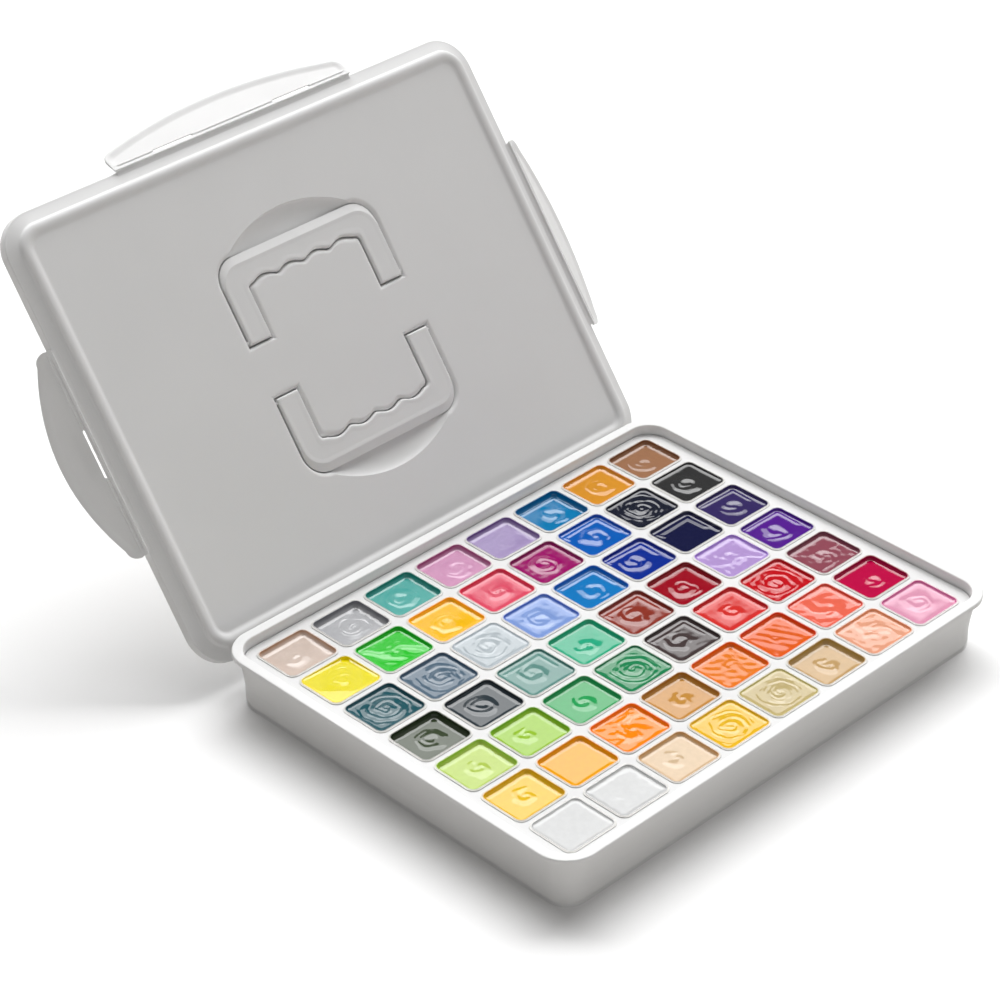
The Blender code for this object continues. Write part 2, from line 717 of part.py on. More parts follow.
def lid_frame():
    """The lid's frame, standing on the free edge of its lower latch, which is folded shut."""
    along = Vector((0, math.cos(LEAN_BACK), math.sin(LEAN_BACK)))
    outward = Vector((0, -math.sin(LEAN_BACK), math.cos(LEAN_BACK)))
    lip_out = LATCH_AXIS_OUT + LATCH_HALF_THICK + LATCH_LIP
    foot = -lip_out * along - (LATCH_DROP + LATCH_REACH) * outward
    edge_y = TRAY_HALF_Y + LID_BEHIND_TRAY
    edge = Vector((0, edge_y, LATCH_FLOOR_GAP - foot.z))
    frame = bpy.data.objects.new("lid_frame", None)
    bpy.context.scene.collection.objects.link(frame)
    frame.matrix_world = Matrix.Translation(edge + LID_HALF_Y * along) @ Matrix.Rotation(LEAN_BACK, 4, "X")
    return frame


def main():
    clear_scene()
    build_tray_shell()
    build_cup_rack()
    build_cup_pairs()
    frame = lid_frame()
    build_lid_shell(frame)
    build_gasket(frame)
    build_handle("handle_upper", frame, 0)
    build_handle("handle_lower", frame, 2 * QUARTER_TURN)
    opened = QUARTER_TURN - LATCH_OPEN
    build_latch("latch_top", frame, LONG_LATCH, LID_HALF_Y, 0, opened)
    build_latch("latch_left", frame, SHORT_LATCH, LID_HALF_X, QUARTER_TURN, opened)
    build_latch("latch_right", frame, SHORT_LATCH, LID_HALF_X, -QUARTER_TURN, opened)
    build_latch("latch_bottom", frame, LONG_LATCH, LID_HALF_Y, 2 * QUARTER_TURN, QUARTER_TURN)


main()
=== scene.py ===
import math
import random

import bmesh
import bpy
import numpy as np
from mathutils import Matrix, Vector


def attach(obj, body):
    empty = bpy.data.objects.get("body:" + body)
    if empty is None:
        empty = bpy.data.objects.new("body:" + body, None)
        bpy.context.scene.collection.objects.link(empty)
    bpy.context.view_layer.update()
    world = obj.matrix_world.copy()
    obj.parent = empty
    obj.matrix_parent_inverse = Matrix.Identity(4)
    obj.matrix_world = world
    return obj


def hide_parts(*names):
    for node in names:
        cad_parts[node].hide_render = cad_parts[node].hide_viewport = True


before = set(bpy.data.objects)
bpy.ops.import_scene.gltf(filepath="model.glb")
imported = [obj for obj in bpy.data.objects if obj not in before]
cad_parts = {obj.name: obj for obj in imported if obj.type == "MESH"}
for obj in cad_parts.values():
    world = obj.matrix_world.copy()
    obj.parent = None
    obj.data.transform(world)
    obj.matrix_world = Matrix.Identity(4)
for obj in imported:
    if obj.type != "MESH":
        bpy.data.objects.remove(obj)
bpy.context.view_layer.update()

# Lengths are metres, and angles are radians unless a name says degrees.
MM = 0.001
QUARTER = math.pi / 2
TURN = 2 * math.pi

# Gaps between pieces.
SEAT_GAP = 0.0003
FLANGE_GAP = 0.00003
HOLE_GAP = 0.0003
LID_GAP = 0.0005
WELL_GAP = 0.0005
WELL_END_GAP = 0.0008
PIVOT_GAP = 0.00015

# Tray, rack and cups.
TRAY_HALF_X = 0.1914
TRAY_HALF_Y = 0.14885
TRAY_HEIGHT = 0.0397
CUPS_ALONG = 8
CUPS_ACROSS = 7
RACK_BAR_X = 0.0050
RACK_BAR_Y = 0.00465
DECK_MARGIN_X = 0.0083
DECK_MARGIN_Y = 0.0054
RIM_WIDTH = 0.0071
RIM_CORNER = 0.0226
RIM_SIDE = 0.0030
RIM_ROUND = 0.0009
COVE_HEIGHT = 0.0050
WALL_INSET = 0.0048
WALL_DRAFT = 0.0008
BASE_ROUND = 0.0016
FLOOR_THICKNESS = 0.0022
LEDGE_WIDTH = 0.0026
LEDGE_THICKNESS = 0.0030
MOUTH_SINK = 0.0062
FLANGE_THICKNESS = 0.0007
FLANGE_REACH = 0.0009
DECK_THICKNESS = 0.0016
DECK_ROUND = 0.0005
CUP_CORNER = 0.0048
CUP_TAPER = 0.0022
CUP_WALL = 0.0008
CUP_FLOOR_GAP = 0.0023
CUP_BASE_ROUND = 0.0015
CUP_LIP_ROUND = 0.00020
CUP_BEAD_HEIGHT = 0.00022

# Lid.
LEAN_BACK = math.radians(53.2)
LID_BEHIND_TRAY = 0.0014
SKIRT_WALL = 0.0019
SKIRT_DROP = 0.0130
SKIRT_TOP_DROP = 0.0067
SKIRT_ROUND = 0.0016
SHOULDER_INSET = 0.0082
SHOULDER_DROP = 0.0036
CREST_HEIGHT = 0.0024
CREST_START = 0.0087
CREST_INSET = 0.0124
FOOT_INSET = 0.0158
FACE_INSET = 0.0184
FACE_SINK = 0.0020
PLATE_THICKNESS = 0.0020
RIM_SEAT_DROP = 0.0080
LAND_WIDTH = 0.0045
GROOVE_ROOF = 0.0056
INNER_RIB_WALL = 0.0015
INNER_RIB_DROP = 0.0120

# Handles, wells and finger scoops.
HANDLE_SPAN = 0.1300
HANDLE_THICKNESS = 0.0050
HANDLE_PROUD = 0.0004
HANDLE_CORNER = 0.0160
HANDLE_ROUND = 0.0015
HANDLE_BAND = 0.0030
HANDLE_DISH = 0.00018
GRIP_BEVEL_DROP = 0.0019
LEG_WIDTH = 0.0175
LEG_END = 0.0185
GRIP_REACH = 0.0745
GRIP_WIDTH = 0.0205
GRIP_BEVEL = 0.0055
GRIP_INNER_CORNER = 0.0035
FINGERS = 4
FINGER_DIP = 0.0030
CUSP_SOFTNESS = 0.22
STUB_RADIUS = 0.0012
STUB_LENGTH = 0.0025
STUB_END_GAP = 0.0006
STUB_ROOT = 0.0010
BOSS_HALF = 0.0045
BOSS_WALL = 0.0018
BOSS_BOTTOM = 0.0035
WELL_WALL = 0.0013
WELL_FLOOR = 0.0012
WELL_LIP_WIDTH = 0.0036
WELL_LIP_DEPTH = 0.0034
SCOOP_RADIUS = 0.0920
SCOOP_CHORD = 0.0660
SCOOP_DEPTH = 0.0054
SCOOP_SLOPE = 0.0150
CUT_PAST = 0.0010

# Latches.
LATCH_THICKNESS = 0.0016
LATCH_REACH = 0.0262
LATCH_DROP = 0.0050
LATCH_LIP = 0.0004
LATCH_DISH = 0.00070
LATCH_DISH_WIDTH = 0.0062
LATCH_ROUND = 0.0004
LATCH_HIP = 0.0004
LATCH_HIP_START = 0.0034
LATCH_HIP_END = 0.0044
LONG_LATCH = 0.1970
SHORT_LATCH = 0.1370
# How far a latch's shoulders lie behind its crown, and the radius of its corners.
LONG_LATCH_END = (0.0110, 0.0080)
SHORT_LATCH_END = (0.0140, 0.0074)
LATCH_CROWN_POWER = 2.0
LATCH_OPEN = math.radians(56.0)
SLOT_LENGTH = 0.0320
SLOT_START = 0.0023
SLOT_WIDTH = 0.0019
LONG_SLOT_OFFSET = 0.0495
CATCH_GAP = 0.0004
CATCH_HEIGHT = 0.0042
CATCH_TOP_WIDTH = 0.0018
CATCH_SLOPE = 0.0020
CATCH_ROOT = 0.0004
LATCH_FLOOR_GAP = 0.0003
FOLD_Y = 0.0033
FOLD_RADIUS = 0.00090
FOLD_PROUD = 0.00009
# The hinge web's section: outwards from the lid's side, and up from the latch's axis.
HINGE_WEB = (
    (-0.0030, -0.0016), (-0.0002, -0.0010), (0.0008, -0.0010), (0.0010, -0.0005), (0.0009, 0.0),
    (0.0006, -0.00035), (0.0, -0.00055), (-0.0015, -0.00062), (-0.0030, -0.0005),
)

# What follows from these sizes.
CUP_PITCH_X = 2 * (TRAY_HALF_X - RIM_WIDTH - DECK_MARGIN_X) / CUPS_ALONG
CUP_PITCH_Y = 2 * (TRAY_HALF_Y - RIM_WIDTH - DECK_MARGIN_Y) / CUPS_ACROSS
CUP_LENGTH = CUP_PITCH_X - RACK_BAR_X
CUP_WIDTH = CUP_PITCH_Y - RACK_BAR_Y
MOUTH_Z = TRAY_HEIGHT - MOUTH_SINK
CUP_DEPTH = MOUTH_Z - FLOOR_THICKNESS - CUP_FLOOR_GAP
DECK_TOP = MOUTH_Z - FLANGE_THICKNESS - FLANGE_GAP
LEDGE_Z = DECK_TOP - DECK_THICKNESS - SEAT_GAP
LID_GROWTH = SKIRT_WALL + LID_GAP
LID_HALF_X = TRAY_HALF_X + LID_GROWTH
LID_HALF_Y = TRAY_HALF_Y + LID_GROWTH
LID_CORNER = RIM_CORNER + LID_GROWTH
HALF_THICK = HANDLE_THICKNESS / 2
PIVOT_Y = LEG_END + HALF_THICK
PIVOT_Z = HANDLE_PROUD - FACE_SINK - HALF_THICK
WELL_FLOOR_Z = PIVOT_Z - HALF_THICK - SEAT_GAP
LATCH_HALF = LATCH_THICKNESS / 2
LATCH_AXIS_OUT = SEAT_GAP + LATCH_HALF
INNER_HALF_X = CUP_LENGTH / 2 - CUP_WALL
INNER_HALF_Y = CUP_WIDTH / 2 - CUP_WALL
INNER_CORNER = CUP_CORNER - CUP_WALL

# An edge that bends more than this stays sharp under smooth shading.
SHARP = math.radians(34)
SOFTER_SHARP = math.radians(50)
PAINT_SHARP = math.radians(70)
EVEN_WEIGHT = 90


# Camera, floor and light
CAMERA_AT = (-1.1638826, -1.0918153, 1.1743001)
CAMERA_AZIMUTH = math.radians(45.61372)
CAMERA_TILT = math.radians(-33.29178)
CAMERA_ROLL = math.radians(-0.43502)
CAMERA_LENS = 114.709
SENSOR = 36.0
CLIP_NEAR = 0.05
CLIP_FAR = 50.0

WHITE_FLOOR = (0.95, 0.95, 0.95)
FLOOR_BOUNCE = (0.60, 0.585, 0.565)
FLOOR_HALF = 14.0
SKY_LEFT = 0.12
SKY_RIGHT = 0.51
SKY_BACK = 0.10
SKY_FRONT_LOW = 1.40
SKY_TOP = 0.28
SKY_TINT = (1.0, 0.988, 0.975)
LAMP_DISTANCE = 9.0
# Each softbox: azimuth, elevation, half width and half height in degrees, seen from the box, and radiance.
SOFTBOXES = {
    "rear_softbox": (44, 53.4, 37, 12.2, 6.9),
    "low_softbox": (44, 38.1, 37, 3.0, 3.5),
    "overhead_softbox": (45, 76, 20, 14, 1.3),
}


def add_camera():
    """The camera, from its place, its way of looking and its slight roll."""
    forward = Vector((math.cos(CAMERA_TILT) * math.cos(CAMERA_AZIMUTH),
                      math.cos(CAMERA_TILT) * math.sin(CAMERA_AZIMUTH), math.sin(CAMERA_TILT)))
    level = forward.cross(Vector((0, 0, 1))).normalized()
    upright = level.cross(forward)
    right = level * math.cos(CAMERA_ROLL) + upright * math.sin(CAMERA_ROLL)
    up = right.cross(forward)
    data = bpy.data.cameras.new("camera")
    data.lens = CAMERA_LENS
    data.sensor_width = SENSOR
    data.clip_start = CLIP_NEAR
    data.clip_end = CLIP_FAR
    camera = bpy.data.objects.new("camera", data)
    bpy.context.scene.collection.objects.link(camera)
    turn = Matrix((right, up, -forward)).transposed().to_4x4()
    camera.matrix_world = Matrix.Translation(CAMERA_AT) @ turn
    bpy.context.scene.camera = camera


def add_softbox(name, azimuth, elevation, half_width, half_height, radiance):
    """A large lamp that faces the box, as wide and high as it looks from there."""
    turn, rise = math.radians(azimuth), math.radians(elevation)
    level = math.cos(rise)
    away = Vector((level * math.cos(turn), level * math.sin(turn), math.sin(rise)))
    data = bpy.data.lights.new(name, "AREA")
    data.shape = "RECTANGLE"
    data.size = 2 * LAMP_DISTANCE * math.tan(math.radians(half_width))
    data.size_y = 2 * LAMP_DISTANCE * math.tan(math.radians(half_height))
    data.energy = radiance * math.pi * data.size * data.size_y
    lamp = bpy.data.objects.new(name, data)
    bpy.context.scene.collection.objects.link(lamp)
    lamp.rotation_mode = "QUATERNION"
    lamp.rotation_quaternion = away.to_track_quat("Z", "Y")
    lamp.location = away * LAMP_DISTANCE


def link(obj):
    bpy.context.scene.collection.objects.link(obj)
    return obj


# Materials
BLACK = (0.0, 0.0, 0.0)
CASE_WHITE = (0.80, 0.80, 0.797)
RACK_WHITE = (0.70, 0.70, 0.70)
LID_WHITE = (0.76, 0.76, 0.76)
LATCH_WHITE = (0.74, 0.74, 0.74)
SEAL_GREY = (0.72, 0.72, 0.70)
CUP_IOR = 1.45
CUP_GRAIN = 0.000002
PAINT_IOR = 1.5
PAINT_GLOSS = (0.05, 0.07)
PIGMENT_SHADE = 0.05
# Painted glow: emission on the paint's thin film at a cup's wall, standing in for light that comes back
# through the milky cup.
PAINTED_FILM_GLOW = 0.30
DRAG_HEIGHT = 0.0000002
FINE_HEIGHT = 0.00000015
SKIN_HEIGHT = 0.00006


class Wire:
    """A node's output that can stand in a sum."""

    def __init__(self, finish, socket):
        self.finish = finish
        self.socket = socket

    def joined(self, operation, first, second):
        return self.finish.node("ShaderNodeMath", {"operation": operation}, {0: first, 1: second})

    def __add__(self, other):
        return self.joined("ADD", self, other)

    def __sub__(self, other):
        return self.joined("SUBTRACT", self, other)

    def __rsub__(self, other):
        return self.joined("SUBTRACT", other, self)

    def __mul__(self, other):
        return self.joined("MULTIPLY", self, other)

    __radd__ = __add__
    __rmul__ = __mul__


class Finish:
    """A material or world, and the one way in which its nodes are made."""

    def __init__(self, name, owner=None):
        self.made = owner or bpy.data.materials.new(name)
        self.made.use_nodes = True
        self.tree = self.made.node_tree
        self.tree.nodes.clear()

    def node(self, kind, settings=None, sockets=None, output=0):
        made = self.tree.nodes.new(kind)
        for key, value in (settings or {}).items():
            if key == "stops":
                ramp = made.color_ramp
                while len(ramp.elements) < len(value):
                    ramp.elements.new(1)
                for stop, (place, colour) in zip(ramp.elements, value):
                    stop.position = place
                    stop.color = (*colour, 1)
            else:
                setattr(made, key, value)
        for key, value in (sockets or {}).items():
            if isinstance(value, Wire):
                self.tree.links.new(value.socket, made.inputs[key])
            else:
                if isinstance(value, tuple) and len(value) == 3 and made.inputs[key].type == "RGBA":
                    value = (*value, 1)
                made.inputs[key].default_value = value
        if not made.outputs:
            return None
        return Wire(self, made.outputs[output])

    def place(self):
        return self.node("ShaderNodeTexCoord", output="Object")

    def noise(self, where, scale, detail=2.0, roughness=0.5):
        sockets = {"Vector": where, "Scale": scale, "Detail": detail, "Roughness": roughness}
        return self.node("ShaderNodeTexNoise", None, sockets)

    def stretched(self, where, scale, turn=(0, 0, 0)):
        return self.node("ShaderNodeMapping", None, {"Vector": where, "Scale": scale, "Rotation": turn})

    def band(self, value, low, high, first=0.0, last=1.0):
        """Runs smoothly from first to last while the value goes from low to high."""
        sockets = {"Value": value, "From Min": low, "From Max": high, "To Min": first, "To Max": last}
        return self.node("ShaderNodeMapRange", {"interpolation_type": "SMOOTHSTEP"}, sockets)

    def mix(self, share, first, second):
        settings = {"data_type": "RGBA"}
        return self.node("ShaderNodeMix", settings, {0: share, 6: first, 7: second}, output=2)

    def attribute(self, name, output="Fac"):
        return self.node("ShaderNodeAttribute", {"attribute_name": name}, None, output)

    def bump(self, height, distance, strength=1.0, normal=None):
        sockets = {"Height": height, "Distance": distance, "Strength": strength}
        if normal is not None:
            sockets["Normal"] = normal
        return self.node("ShaderNodeBump", None, sockets)

    def surface(self, sockets):
        shader = self.node("ShaderNodeBsdfPrincipled", None, sockets)
        self.node("ShaderNodeOutputMaterial", None, {"Surface": shader})
        return self.made


def shade(colour, factor):
    return tuple(min(1.0, part * factor) for part in colour)


def milkiness(weight, depth):
    """How strongly and how deep light wanders in a milky plastic, alike for all colours."""
    return {"Subsurface Weight": weight, "Subsurface Scale": depth, "Subsurface Radius": (1.0, 1.0, 1.0)}


def moulded_plastic(name, colour, roughness, grain_size, grain_height, milky=0.0):
    """White moulded plastic: faint clouding, fine mould grain and a few hairline rubs."""
    finish = Finish(name)
    where = finish.place()
    cloud = finish.noise(where, 16.0, 3.0)
    grain = finish.noise(where, 1 / grain_size, 2.0)
    rubs = finish.noise(finish.stretched(where, (900.0, 22.0, 60.0), (0.0, 0.0, 0.6)), 1.0, 1.0)
    rub = finish.band(rubs, 0.66, 0.74)
    tone = finish.mix(finish.band(cloud, 0.3, 0.7), shade(colour, 0.992), shade(colour, 1.006))
    gloss = finish.band(cloud, 0.3, 0.7, roughness - 0.01, roughness + 0.015) + rub * 0.05
    sockets = {"Base Color": tone, "Roughness": gloss, "Normal": finish.bump(grain, grain_height),
               "Specular IOR Level": 0.3}
    return finish.surface({**sockets, **milkiness(milky, 2 * MM)})


def translucent_cup(name):
    """Milky cup plastic that takes a breath of colour from the paint in it."""
    finish = Finish(name)
    where = finish.place()
    tint = finish.attribute("paint_tint", "Color")
    cloud = finish.noise(where, 120.0, 2.0)
    gloss = finish.band(cloud, 0.3, 0.7, 0.2, 0.34)
    grain = finish.noise(where, 1500.0, 1.0)
    normal = finish.bump(grain, CUP_GRAIN)
    sockets = {"Base Color": tint, "Roughness": gloss, "IOR": CUP_IOR, "Normal": normal}
    return finish.surface({**sockets, **milkiness(0.35, 1.5 * MM)})


def wet_paint(name):
    """Creamy wet gouache: its thin film on the wall gets a painted glow, and its skin has fine dragged lines.
    """
    finish = Finish(name)
    where = finish.place()
    colour = finish.attribute("paint_tone", "Color")
    drag = finish.attribute("paint_drag")
    # Where the paint's film lies; this sets the share of its painted glow.
    film = finish.attribute("paint_film")
    pigment = finish.noise(where, 260.0, 3.0)
    fine = finish.noise(where, 900.0, 2.0)
    lines = finish.node("ShaderNodeMath", {"operation": "SINE"}, {0: drag * 9.0 + pigment * 6.0})
    settled = finish.mix(PIGMENT_SHADE, colour, BLACK)
    tone = finish.mix(finish.band(pigment, 0.32, 0.7), settled, colour)
    gloss = finish.band(pigment, 0.3, 0.75, *PAINT_GLOSS)
    normal = finish.bump(fine, FINE_HEIGHT, 1.0, finish.bump(lines, DRAG_HEIGHT))
    # The emission is a painted glow on the paint's film at the wall, standing in for light that comes through
    # the milky cup.
    return finish.surface({"Base Color": tone, "Roughness": gloss, "Normal": normal, "IOR": PAINT_IOR,
                           "Emission Color": finish.mix(film, BLACK, tone), "Emission Strength": PAINTED_FILM_GLOW})


def soft_seal(name, colour):
    """Dull soft rubber with a faintly mottled skin."""
    finish = Finish(name)
    where = finish.place()
    skin = finish.noise(where, 420.0, 4.0)
    tone = finish.mix(finish.band(skin, 0.3, 0.7), shade(colour, 0.94), colour)
    gloss = finish.band(skin, 0.3, 0.7, 0.5, 0.66)
    return finish.surface({"Base Color": tone, "Roughness": gloss, "Normal": finish.bump(skin, SKIN_HEIGHT)})


def plain_floor(name):
    """White where it is seen or mirrored; duller for the light that it throws back."""
    finish = Finish(name)
    where = finish.place()
    paper = finish.noise(where, 300.0, 2.0)
    white = finish.mix(paper, shade(WHITE_FLOOR, 0.995), WHITE_FLOOR)
    clear = finish.node("ShaderNodeLightPath", None, None, "Is Camera Ray")
    for ray in ("Is Glossy Ray", "Is Transmission Ray"):
        clear = clear.joined("MAXIMUM", clear, finish.node("ShaderNodeLightPath", None, None, ray))
    tone = finish.mix(clear, FLOOR_BOUNCE, white)
    return finish.surface({"Base Color": tone, "Roughness": 0.9, "Specular IOR Level": 0.1})


def add_floor():
    mesh = bpy.data.meshes.new("floor")
    corners = [(x * FLOOR_HALF, y * FLOOR_HALF, 0) for x, y in ((-1, -1), (1, -1), (1, 1), (-1, 1))]
    mesh.from_pydata(corners, [], [(0, 1, 2, 3)])
    mesh.materials.append(plain_floor("floor_white"))
    link(bpy.data.objects.new("floor", mesh))


def add_sky():
    """A soft room: brighter to the right, brightest low down in front, and dark behind."""
    world = bpy.data.worlds.new("studio")
    bpy.context.scene.world = world
    sky = Finish("studio", world)
    way = sky.node("ShaderNodeTexCoord", output="Generated")
    split = {axis: sky.node("ShaderNodeSeparateXYZ", None, {0: way}, axis) for axis in "XYZ"}
    back = (split["X"] + split["Y"]) * math.sqrt(0.5)
    room = sky.band(split["X"], -0.7, 0.9, SKY_LEFT, SKY_RIGHT)
    behind = sky.band(back, -0.3, 0.3)
    high = sky.band(split["Z"], 0.80, 0.97)
    side = room * (1 - behind) + behind * SKY_BACK
    front = sky.band(back, -0.75, -0.15, SKY_FRONT_LOW, 0.0)
    low = sky.band(split["Z"], 0.06, 0.26, 1.0, 0.0)
    level = side * (1 - high) + high * SKY_TOP + front * low
    shine = sky.node("ShaderNodeBackground", None, {"Color": SKY_TINT, "Strength": level})
    sky.node("ShaderNodeOutputWorld", None, {"Surface": shine})


# Meshes
def quarter_turn(steps):
    """The angles from nought to a quarter turn, in equal steps."""
    return [QUARTER * step / steps for step in range(steps + 1)]


def rounded_rectangle(half_x, half_y, corner, steps):
    """Outline points anticlockwise from the right-hand side."""
    points = []
    for quarter in range(4):
        side_x = 1 if quarter in (0, 3) else -1
        side_y = 1 if quarter in (0, 1) else -1
        for step in range(steps + 1):
            angle = QUARTER * (quarter + step / steps)
            x = side_x * (half_x - corner) + corner * math.cos(angle)
            y = side_y * (half_y - corner) + corner * math.sin(angle)
            points.append((x, y))
    return points


def at_height(outline, z):
    return [(x, y, z) for x, y in outline]


def add_skin(mesh, rings, closed=False):
    """Joins rings of equal length by faces: capped at both ends, or joined end to end."""
    loops = [[mesh.verts.new(point) for point in ring] for ring in rings]
    count = len(loops[0])
    following = loops[1:] + ([loops[0]] if closed else [])
    for low, high in zip(loops, following):
        for i in range(count):
            j = (i + 1) % count
            mesh.faces.new((low[i], low[j], high[j], high[i]))
    if not closed:
        mesh.faces.new(list(reversed(loops[0])))
        mesh.faces.new(loops[-1])


def solid(name, stacks, closed=False):
    mesh = bmesh.new()
    for rings in stacks:
        add_skin(mesh, rings, closed)
    bmesh.ops.recalc_face_normals(mesh, faces=mesh.faces)
    data = bpy.data.meshes.new(name)
    mesh.to_mesh(data)
    mesh.free()
    return link(bpy.data.objects.new(name, data))


def settle(obj):
    """Turns the modifiers' result into the object's own plain mesh."""
    graph = bpy.context.evaluated_depsgraph_get()
    made = bpy.data.meshes.new_from_object(obj.evaluated_get(graph))
    obj.modifiers.clear()
    obj.data = made
    return obj


def combine(target, other, operation):
    modifier = target.modifiers.new(operation, "BOOLEAN")
    modifier.operation = operation
    modifier.solver = "EXACT"
    modifier.object = other
    settle(target)
    bpy.data.objects.remove(other)


def dress(obj, finish, angle=SHARP, even=False):
    """Gives a piece its material and smooth shading; even keeps wide flat faces flat."""
    obj.data.materials.clear()
    obj.data.materials.append(finish)
    obj.data.shade_smooth()
    obj.data.set_sharp_from_angle(angle=angle)
    if even:
        modifier = obj.modifiers.new("even", "WEIGHTED_NORMAL")
        modifier.keep_sharp = True
        modifier.weight = EVEN_WEIGHT
        settle(obj)
    return obj


def carry(obj, place):
    obj.data.transform(place)
    obj.data.update()
    return obj


# Tray and rack
TRAY_CORNER_STEPS = 18
ROUND_STEPS = 4
COVE_STEPS = 8


def tray_ring(inset, z):
    corner = max(RIM_CORNER - inset, MM)
    outline = rounded_rectangle(TRAY_HALF_X - inset, TRAY_HALF_Y - inset, corner, TRAY_CORNER_STEPS)
    return at_height(outline, z)


def build_tray_shell(finish):
    """From the foot up the outside, over the rim, and down past the rack's ledge to the floor."""
    foot = WALL_INSET + WALL_DRAFT + BASE_ROUND
    top = TRAY_HEIGHT
    cove_low = top - RIM_SIDE - COVE_HEIGHT
    profile = []
    for angle in quarter_turn(ROUND_STEPS):
        profile.append((foot + BASE_ROUND * math.sin(angle), BASE_ROUND * (1 - math.cos(angle))))
    for angle in quarter_turn(COVE_STEPS):
        profile.append((WALL_INSET * math.cos(angle), cove_low + COVE_HEIGHT * math.sin(angle)))
    profile.append((0, top - RIM_SIDE + MM / 5))
    for angle in quarter_turn(ROUND_STEPS):
        profile.append((RIM_ROUND * (1 - math.cos(angle)), top - RIM_ROUND * (1 - math.sin(angle))))
    for angle in quarter_turn(ROUND_STEPS):
        inset = RIM_WIDTH - RIM_ROUND * (1 - math.sin(angle))
        profile.append((inset, top - RIM_ROUND * (1 - math.cos(angle))))
    ledge = RIM_WIDTH + LEDGE_WIDTH
    profile += [
        (RIM_WIDTH, LEDGE_Z),
        (ledge, LEDGE_Z),
        (ledge, LEDGE_Z - LEDGE_THICKNESS),
        (RIM_WIDTH, LEDGE_Z - LEDGE_THICKNESS - LEDGE_WIDTH),
        (RIM_WIDTH, FLOOR_THICKNESS + BASE_ROUND),
        (RIM_WIDTH + BASE_ROUND, FLOOR_THICKNESS),
    ]
    return dress(solid("tray_case", [[tray_ring(inset, z) for inset, z in profile]]), finish, even=True)


def cup_centre(column, row):
    x = (column - (CUPS_ALONG - 1) / 2) * CUP_PITCH_X
    y = (row - (CUPS_ACROSS - 1) / 2) * CUP_PITCH_Y
    return x, y


CELL_STEPS = 8
DECK_EDGE_STEPS = 3


def rack_cell():
    """One cell of the rack: a flat square of deck with its hole, open at the hole."""
    half_x = CUP_LENGTH / 2 + HOLE_GAP
    half_y = CUP_WIDTH / 2 + HOLE_GAP
    hole = rounded_rectangle(half_x, half_y, CUP_CORNER + HOLE_GAP, CELL_STEPS)
    edge = []
    for index, (x, y) in enumerate(hole):
        quarter, step = divmod(index, CELL_STEPS + 1)
        side_x = 1 if quarter in (0, 3) else -1
        side_y = 1 if quarter in (0, 1) else -1
        along_side = step < CELL_STEPS / 2 if quarter in (0, 2) else step > CELL_STEPS / 2
        if step == CELL_STEPS / 2:
            edge.append((side_x * CUP_PITCH_X / 2, side_y * CUP_PITCH_Y / 2))
        elif along_side:
            edge.append((side_x * CUP_PITCH_X / 2, y))
        else:
            edge.append((x, side_y * CUP_PITCH_Y / 2))
    count = len(hole)
    points = at_height(hole, 0) + at_height(edge, 0)
    faces = [(i, count + i, count + (i + 1) % count, (i + 1) % count) for i in range(count)]
    data = bpy.data.meshes.new("rack_cell")
    data.from_pydata(points, [], faces)
    return link(bpy.data.objects.new("rack_cell", data))


def grid_tree():
    """Repeats one cell on a regular grid and joins the cells where they meet."""
    tree = bpy.data.node_groups.new("grid_of_cells", "GeometryNodeTree")
    face = tree.interface
    wanted = [("Cell", "NodeSocketObject"), ("Columns", "NodeSocketInt"), ("Rows", "NodeSocketInt"),
              ("Pitch X", "NodeSocketFloat"), ("Pitch Y", "NodeSocketFloat"), ("Height", "NodeSocketFloat"),
              ("Join Distance", "NodeSocketFloat"), ("Finish", "NodeSocketMaterial")]
    names = {}
    for name, kind in wanted:
        names[name] = face.new_socket(name, in_out="INPUT", socket_type=kind).identifier
    face.new_socket("Geometry", in_out="OUTPUT", socket_type="NodeSocketGeometry")

    def node(kind, settings=None, sockets=None):
        made = tree.nodes.new(kind)
        for key, value in (settings or {}).items():
            setattr(made, key, value)
        for key, value in (sockets or {}).items():
            if isinstance(value, bpy.types.NodeSocket):
                tree.links.new(value, made.inputs[key])
            else:
                made.inputs[key].default_value = value
        return made

    def maths(operation, first, second):
        return node("ShaderNodeMath", {"operation": operation}, {0: first, 1: second}).outputs[0]

    given = node("NodeGroupInput").outputs
    size_x = maths("MULTIPLY", maths("SUBTRACT", given["Columns"], 1), given["Pitch X"])
    size_y = maths("MULTIPLY", maths("SUBTRACT", given["Rows"], 1), given["Pitch Y"])
    grid = node("GeometryNodeMeshGrid", None, {"Size X": size_x, "Size Y": size_y,
                                               "Vertices X": given["Columns"], "Vertices Y": given["Rows"]})
    lift = node("ShaderNodeCombineXYZ", None, {"Z": given["Height"]})
    raised = node("GeometryNodeSetPosition", None, {"Geometry": grid.outputs["Mesh"],
                                                    "Offset": lift.outputs[0]})
    cell = node("GeometryNodeObjectInfo", None, {"Object": given["Cell"]})
    placed = node("GeometryNodeInstanceOnPoints", None, {"Points": raised.outputs[0],
                                                         "Instance": cell.outputs["Geometry"]})
    real = node("GeometryNodeRealizeInstances", None, {"Geometry": placed.outputs[0]})
    merged = node("GeometryNodeMergeByDistance", None, {"Geometry": real.outputs[0],
                                                        "Distance": given["Join Distance"]})
    painted = node("GeometryNodeSetMaterial", None, {"Geometry": merged.outputs[0],
                                                     "Material": given["Finish"]})
    node("NodeGroupOutput", None, {"Geometry": painted.outputs[0]})
    return tree, names


